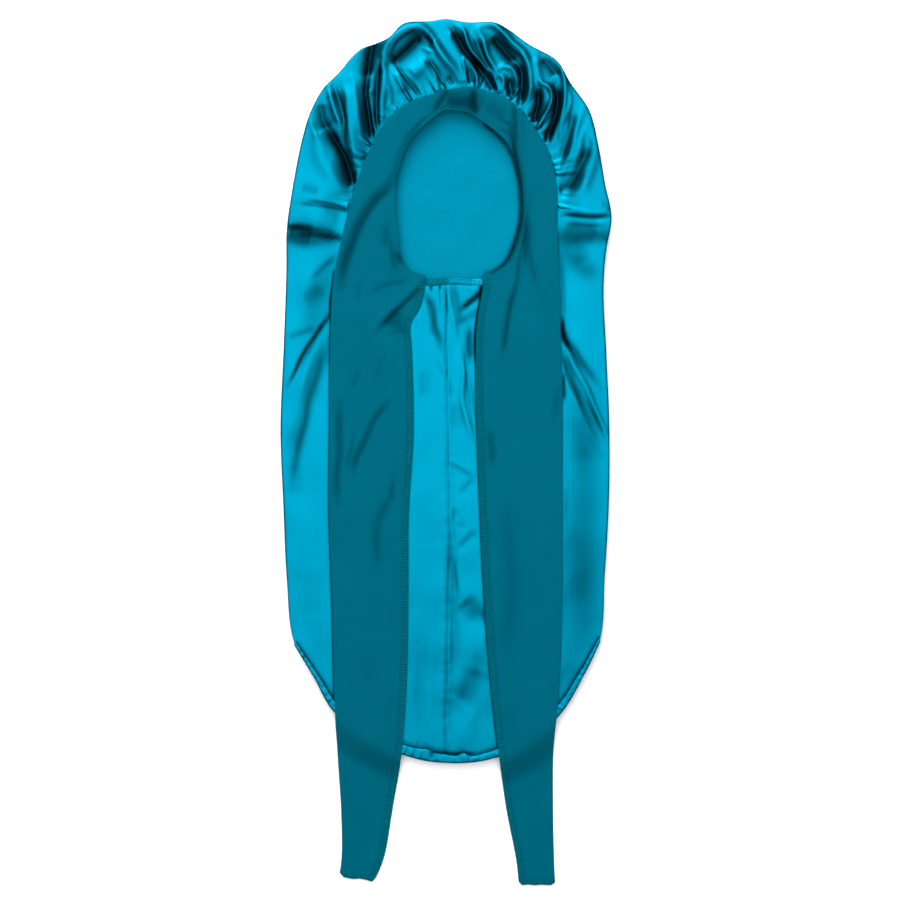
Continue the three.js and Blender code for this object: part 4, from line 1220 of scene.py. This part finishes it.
def make_rear(edge):
    """The satin's rear layer, which lies on the surface: rings from a small patch in the middle of the face
    opening out to the side fold and the hem, with soft wrinkles that die away outwards. Faces from one place
    in its middle to two steps of the first ring close the patch."""
    hem = hem_inset(UNDER_CASING_SHARE)[::6]
    line = resample(closed(np.concatenate([edge[:, :2], hem])), REAR_COLUMNS + 1)[:-1]
    middle = np.array(FACE_CENTRE)
    share = np.linspace(0.004, 1, REAR_RINGS)[:, None, None] ** 1.35
    plan = middle + (line - middle) * share
    points = plan.reshape(-1, 2)
    near = np.exp(-(np.hypot(*((points - middle) / (70, 90)).T) ** 4))
    wrinkles = 0.9 + 0.9 * soft_waves(points, 46, 21) + 0.25 * soft_waves(points, 15, 22)
    z = SHEET_GAP + near * wrinkles.clip(0)
    grid = facing(np.dstack([plan, z.reshape(plan.shape[:2])]), False)
    vertices = np.concatenate([grid.reshape(-1, 3), grid[0].mean(0)[None]])
    turn = np.arange(0, REAR_COLUMNS, 2)
    patch = np.stack([0 * turn + len(vertices) - 1, (turn + 2) % REAR_COLUMNS, turn + 1, turn], 1)
    faces = np.concatenate([grid_faces(REAR_RINGS, REAR_COLUMNS, wrap=True), patch])
    # Painted shade along the right part of the strip's sewn edge, seen through the face opening.
    beside = strip_inner[(strip_inner[:, 0] > 36) & (strip_inner[:, 1] > 160) & (strip_inner[:, 1] < 312)]
    shade = 4 * np.exp(-((nearest_on(vertices[:, :2], beside)[0] / 1.6) ** 2))
    piece = new_piece("satin_rear_cloth", vertices, faces, SATIN, deep=shade)
    thicken(piece, SATIN_THICK, REVERSE)
    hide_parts("satin_rear")
    return piece


def make_hem_casing():
    """The casing round the open hem: one flat tube along the front layer's edge and one along the rear's.
    Each ring is a squarish ellipse, with cos and sin to the power 0.6, as wide in plan as the casing's
    height and swelling between its puckers. Its folded lower edge, the pinch left of the middle and the
    puckers to the right of it are painted darker as shade."""
    along = lengths_along(hem_curve)
    at = np.linspace(0, along[-1], CASING_RINGS)
    line = places_at(at, along, hem_curve)
    inward = places_at(at, along, inward_from(hem_curve))
    height = np.interp(at, along, hem_heights)
    closing = np.clip(np.minimum(at, along[-1] - at) / 3, 0.05, 1) ** 0.5
    turn = np.linspace(0, 2 * np.pi, 21)[:-1]
    across, rise = (np.sign(part) * np.abs(part) ** 0.6 for part in (np.cos(turn), np.sin(turn)))
    parts = []
    for layer, seed in (("front", CASING_PUFFS.seed), ("rear", CASING_PUFFS.seed + 1)):
        swell = puffs(at, np.zeros(len(at)), (0, along[-1]), *CASING_PUFFS._replace(seed=seed))
        half = height / 2 * closing
        thick = (CASING_HALF_THICKNESS + swell) * closing
        centre = line + inward * (height / 2)[:, None]
        level = front_height(centre) - 0.1 if layer == "front" else np.full(len(at), 1.5)
        plan = centre[:, None] + inward[:, None] * (half[:, None] * across)[..., None]
        lumps = 0.22 * soft_waves(plan.reshape(-1, 2), 7, seed + 2).reshape(half.size, -1) * rise.clip(0)
        z = level[:, None] + thick[:, None] * rise + lumps * closing[:, None]
        grid = np.dstack([plan, z.clip(0.02)])
        parts.append(np.concatenate([grid, grid[:, :1]], axis=1))
    vertices, faces = welded(parts)
    points = vertices[:, :2]
    # Painted shade along the folded lower edge, round the pinch and between the puckers to the right.
    edge_shade = 4 * np.exp(-((nearest_on(points, hem_curve[::4])[0] / 0.9) ** 2))
    pinch = 6 * np.exp(-((np.hypot(*(points - (-13.7, -282.5)).T) / 2.4) ** 2))
    puckers = 1.6 * soft_waves(points, 4.4, 35).clip(0) * smooth((points[:, 0] - 12) / 8)
    deep = 0.2 + edge_shade + pinch + puckers
    piece = new_piece("hem_casing_cloth", vertices, faces, SATIN, deep=deep)
    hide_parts("hem_casing")
    return piece


def nape_top(x):
    """The nape edge's upper line at each x."""
    line = curve_through(NAPE_TOP, 8)
    return np.interp(x, line[:, 0], line[:, 1])


def nape_height(points):
    """Height of the nape edge's face: the satin's, plus a low arch from its upper line to its lower one, as
    sin(pi s), which swells a little between its stitches."""
    x, y = points.T
    s = np.clip((nape_top(x) - y) / NAPE_DEPTH, 0, 1)
    swell = puffs(x, np.zeros(x.size), NAPE_ENDS, *NAPE_EDGE_PUFFS)
    return front_height(points) + 0.25 + np.sin(np.pi * s) * (0.35 + swell)


def make_nape_edge():
    """The nape's narrow rolled edge, drawn in by elastic. Its left part, under the thick overlock, is
    painted darker as shade, and its right end isn't."""
    x, s = np.meshgrid(np.linspace(*NAPE_ENDS, 150), np.linspace(0, 1, 14))
    y = nape_top(x) - NAPE_DEPTH * s + 0.12 * np.sin(x / 1.4)
    z = nape_height(np.stack([x.ravel(), y.ravel()], 1)).reshape(x.shape)
    vertices, faces = welded([facing(np.dstack([x, y, z]), True)])
    # Painted shade: darker under the thick overlock on the left, less so up to the right end.
    deep = 0.4 + 3.2 * smooth((4 - vertices[:, 0]) / 5) + 1.2 * smooth((27 - vertices[:, 0]) / 4)
    piece = new_piece("nape_edge_cloth", vertices, faces, SATIN, deep=deep)
    thicken(piece, 0.4)
    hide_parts("nape_edge")
    return piece


# Jersey strip

def strip_rows():
    """Inner and outer edge places along the strip, closer together on the band than on the ties."""
    inner = curve_through([station.inner for station in STRIP_STATIONS], 24)
    outer = curve_through([station.outer for station in STRIP_STATIONS], 24)
    step = np.maximum(np.hypot(*np.diff(inner, axis=0).T), np.hypot(*np.diff(outer, axis=0).T))
    along = np.concatenate([[0], np.cumsum(step)])
    spacing = np.where(outer[:, 1] > 110, BAND_ROW_SPACING, TIE_ROW_SPACING)
    rows = np.concatenate([[0], np.cumsum(step / spacing[1:])])
    at = np.interp(np.linspace(0, rows[-1], int(rows[-1])), rows, along)
    return places_at(at, along, inner), places_at(at, along, outer), at


def with_cut_ends(plan, t, at, length):
    """The rows near the strip's two cut ends moved up or down, so that the ends aren't straight: by the
    end's wave at that share of the width, fading out over 9 mm along the strip."""
    shares = [wave.share for wave in END_WAVES]
    left = np.interp(t, shares, [wave.left for wave in END_WAVES]) * smooth(1 - at / 9)
    right = np.interp(t, shares, [wave.right for wave in END_WAVES]) * smooth(1 - (length - at) / 9)
    return plan + np.dstack([0 * t, left + right])


def strip_loft(t):
    """How far the upper layer stands over the lower one, from the sewn edge at 0 to the fold at 1."""
    return 0.9 + 1.3 * smooth(t / 0.25) - 0.3 * smooth((t - 0.75) / 0.25)


def strip_creases(points):
    """Ridges, creases and hollows of the jersey's upper layer, with faint waves."""
    folds = relief(points, JERSEY_RIDGES) + relief(points, JERSEY_HOLLOWS)
    folds = folds + relief(points, JERSEY_VALLEYS, "pointed")
    return folds + 0.22 * soft_waves(points, 38, 13) + 0.06 * soft_waves(points, 11, 14)


def strip_top(points, t):
    """Height of the strip's upper face at a place, t of the way from its sewn edge to its fold."""
    rise = strip_loft(t) + strip_creases(points) * smooth(t / 0.05)
    return lying_height(points) + SHEET_GAP + np.maximum(rise, 0.75)


def make_strip():
    """The folded jersey strip. Each row across it runs in over the lower layer from the sewn edge to the
    fold, half a turn round the fold, and back over the upper layer, which stands over the lower one by the
    loft and carries the creases."""
    inner, outer, at = strip_rows()
    rows = len(inner)
    fold_radius = strip_loft(np.array([1.0]))[0] / 2
    width = np.hypot(*(outer - inner).T)[:, None]
    end = 1 - fold_radius / width
    lower_t = np.linspace(0, 1, STRIP_LOWER_COLUMNS)[None] * end
    upper_t = np.linspace(1, 0, STRIP_UPPER_COLUMNS)[None] * end
    turn = np.linspace(-np.pi / 2, np.pi / 2, STRIP_FOLD_COLUMNS + 2)[None, 1:-1] + 0 * end
    fold_t = end + np.cos(turn) * fold_radius / width
    t = np.concatenate([lower_t, fold_t, upper_t], axis=1)
    plan = inner[:, None] + (outer - inner)[:, None] * t[..., None]
    plan = with_cut_ends(plan, t, at[:, None], at[-1])
    points = plan.reshape(-1, 2)
    lower = (lying_height(points) + SHEET_GAP).reshape(t.shape)
    top = strip_top(points, t.ravel()).reshape(t.shape)
    around = np.concatenate([0 * lower_t, (1 + np.sin(turn)) / 2, 0 * upper_t + 1], axis=1)
    vertices = np.dstack([plan, lower + (top - lower) * around])
    round_fold = end * width + (turn + np.pi / 2) * fold_radius
    past_fold = (2 * end - upper_t) * width + np.pi * fold_radius
    across = np.concatenate([lower_t * width, round_fold, past_fold], axis=1)
    uv = np.dstack([across, np.broadcast_to(at[:, None], across.shape)])
    ends = np.minimum(at, at[-1] - at)[:, None]
    # Painted shade on the jersey under the overlock threads, along the sewn edge and at the cut ends.
    shade_under_edge = smooth((7.5 - t * width) / 1.5) * (plan[..., 1] < OVERLOCK_TOP)
    shade_under_threads = np.maximum(shade_under_edge, smooth((5.5 - ends) / 1.5))
    deep = painted_shade(points, JERSEY_VALLEYS, JERSEY_HOLLOWS) + 0.9 * shade_under_threads.ravel()
    faces = grid_faces(rows, t.shape[1])
    piece = new_piece("tie_band_cloth", vertices, faces, JERSEY, uv=uv, deep=deep)
    thicken(piece, JERSEY_THICK)
    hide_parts("face_band", "tie_left", "tie_right")
    return piece


# Threads

# Shares of an overlock thread's reach at its points, from just under the edge to its end on the face.
OVERLOCK_STEPS = np.array([-0.06, 0.0, 0.12, 0.55, 1.0])


def make_edge_overlock():
    """The overlock along the strip's sewn edge: a short thread across the edge at each pitch, from just
    under it, round it and over the upper face, each a little slanted and of its own length."""
    inner, outer, at = strip_rows()
    places = np.arange(3, at[-1] - 3, OVERLOCK_PITCH)
    places = places[np.interp(places, at, inner[:, 1]) < OVERLOCK_TOP]
    rng = np.random.default_rng(17)
    a, b = places_at(places, at, inner), places_at(places, at, outer)
    width = np.hypot(*(b - a).T)
    inward = (b - a) / width[:, None]
    ahead = np.stack([inward[:, 1], -inward[:, 0]], 1)
    reach = OVERLOCK_LENGTH * rng.uniform(0.85, 1.08, len(a))
    slant = rng.uniform(-0.35, 0.35, len(a))
    steps = OVERLOCK_STEPS
    away = steps[None] * reach[:, None]
    plan = a[:, None] + inward[:, None] * away[..., None]
    plan = plan + ahead[:, None] * (slant[:, None] * steps)[..., None]
    top = strip_top(plan.reshape(-1, 2), (np.maximum(away, 0) / width[:, None]).ravel()).reshape(away.shape)
    z = top + np.array([-0.9, 0.1, 0.24, 0.2, 0.05])
    paths = np.concatenate([np.dstack([plan, z]), end_threads(rng)])
    vertices, faces = tubes(paths, THREAD_RADIUS)
    return new_piece("strip_overlock_thread", vertices, faces, OVERLOCK_THREAD)


def end_threads(rng):
    """The overlock across the two cut ends of the ties: threads from the end up over the upper face, at
    even shares of the width."""
    inner, outer, at = strip_rows()
    shares = np.arange(0.05, 0.97, 0.042)
    steps = OVERLOCK_STEPS
    paths = []
    for row, end in ((0, at[0]), (-1, at[-1])):
        t = shares + rng.uniform(-0.008, 0.008, len(shares))
        start = inner[row] + (outer - inner)[row] * t[None, :, None]
        start = with_cut_ends(start, t[None], end, at[-1])[0]
        reach = 4.4 * rng.uniform(0.8, 1.1, len(t))
        lean = rng.uniform(-0.7, 0.7, len(t))
        plan = start[:, None] + np.stack([lean[:, None] * steps, reach[:, None] * steps], 2)
        top = strip_top(plan.reshape(-1, 2), np.repeat(t, len(steps))).reshape(len(t), -1)
        paths.append(np.dstack([plan, top + np.array([-0.9, 0.1, 0.26, 0.22, 0.05])]))
    return np.concatenate(paths)


def make_nape_overlock():
    """The thick overlock over the left part of the nape's edge: slanting threads from its lower line to its
    upper one."""
    rng = np.random.default_rng(23)
    x = np.arange(-19, 1.5, 1.25)
    steps = np.linspace(0, 1, 6)
    slant = rng.uniform(2.6, 4.2, len(x))
    along = x[:, None] + slant[:, None] * steps
    y = nape_top(along) - (NAPE_DEPTH + 0.2) * (1 - steps) - 0.1
    plan = np.dstack([along, y])
    z = nape_height(plan.reshape(-1, 2)).reshape(y.shape) + 0.28
    vertices, faces = tubes(np.dstack([plan, z]), NAPE_THREAD_RADIUS)
    return new_piece("nape_overlock_thread", vertices, faces, OVERLOCK_THREAD)


def make_nape_stitches():
    """Two rows of short stitches along the right part of the nape's edge."""
    starts = np.arange(3.5, 28, 2.8)
    along = starts[:, None] + np.linspace(0, 1.5, 5)
    rows = [np.dstack([along, nape_top(along) - below]) for below in (1.4, 5.2)]
    plan = np.concatenate(rows)
    z = nape_height(plan.reshape(-1, 2)).reshape(plan.shape[:2]) + np.array([-0.15, 0.15, 0.2, 0.15, -0.15])
    vertices, faces = tubes(np.dstack([plan, z]), NAPE_STITCH_RADIUS)
    return new_piece("nape_stitches", vertices, faces, SEWING_THREAD)


def make_hem_stitches():
    """The row of stitches that closes the hem casing, along its upper line."""
    line = hem_inset(STITCH_SHARE)
    along = lengths_along(line)
    starts = np.arange(6, along[-1] - 8, 2.5)
    where = starts[:, None] + np.linspace(0, 2.3, 5)
    plan = places_at(where, along, line)
    z = front_height(plan.reshape(-1, 2), fine=True).reshape(where.shape)
    z = z + np.array([0.3, 0.6, 0.65, 0.6, 0.3])
    vertices, faces = tubes(np.dstack([plan, z]), HEM_STITCH_RADIUS)
    return new_piece("hem_stitches", vertices, faces, SEWING_THREAD)


front, roll_end = make_front()
rear = make_rear(roll_end)
casing = make_hem_casing()
nape = make_nape_edge()
strip = make_strip()
overlock = make_edge_overlock()
hem_stitches = make_hem_stitches()
nape_threads = make_nape_overlock()
nape_stitches = make_nape_stitches()


# Camera, light and floor

def area_light(name, place, aim, size, power):
    """A square soft light at a place, aimed at a point."""
    data = bpy.data.lights.new(name, "AREA")
    data.shape = "SQUARE"
    data.size = size
    data.energy = power
    lamp = bpy.data.objects.new(name, data)
    lamp.location = place
    lamp.rotation_euler = Vector(np.array(aim, float) - place).to_track_quat("-Z", "Y").to_euler()
    bpy.context.scene.collection.objects.link(lamp)
    return lamp


def make_camera():
    """Straight above the bonnet, so high that the picture's width just spans as many millimetres at the
    bag's level as the photograph's does."""
    data = bpy.data.cameras.new("camera from above")
    data.lens = LENS
    data.sensor_width = SENSOR
    span = PICTURE_WIDTH * PHOTO_MM_PER_PIXEL * MM
    camera = bpy.data.objects.new("camera from above", data)
    x, y, _ = to_place([(*PHOTO_MIDDLE, 0)])[0]
    camera.location = (x, y, span * LENS / SENSOR + BAG_LEVEL)
    bpy.context.scene.collection.objects.link(camera)
    bpy.context.scene.camera = camera


def make_floor():
    """A plain pale sheet that the bonnet lies on."""
    material, tree, surface = new_material("Pale floor")
    surface.inputs["Base Color"].default_value = (0.93, 0.93, 0.93, 1)
    surface.inputs["Roughness"].default_value = 0.9
    mesh = bpy.data.meshes.new("floor")
    half, low = FLOOR_HALF_WIDTH, FLOOR_LEVEL
    corners = [(-half, -half, low), (half, -half, low), (half, half, low), (-half, half, low)]
    mesh.from_pydata(corners, [], [(0, 1, 2, 3)])
    mesh.materials.append(material)
    floor = bpy.data.objects.new("floor", mesh)
    bpy.context.scene.collection.objects.link(floor)


def make_world(colour, strength):
    """An even pale surround."""
    world = bpy.data.worlds.new("pale surround")
    bpy.context.scene.world = world
    world.use_nodes = True
    background = world.node_tree.nodes["Background"]
    background.inputs["Color"].default_value = (*colour, 1)
    background.inputs["Strength"].default_value = strength


make_camera()
make_floor()
make_world((0.6, 0.8, 1.0), 0.14)
area_light("wide ceiling", (0, 0.1, 2.6), (0, 0.1, 0), 4.5, 66)
area_light("overhead softbox", (-0.1, 0.3, 2.5), (0, 0.1, 0), 1.9, 42)
area_light("key from the crown's side", (-0.4, 1.9, 1.6), (0, 0.05, 0), 1.8, 88)
bpy.context.scene.view_settings.view_transform = "Standard"
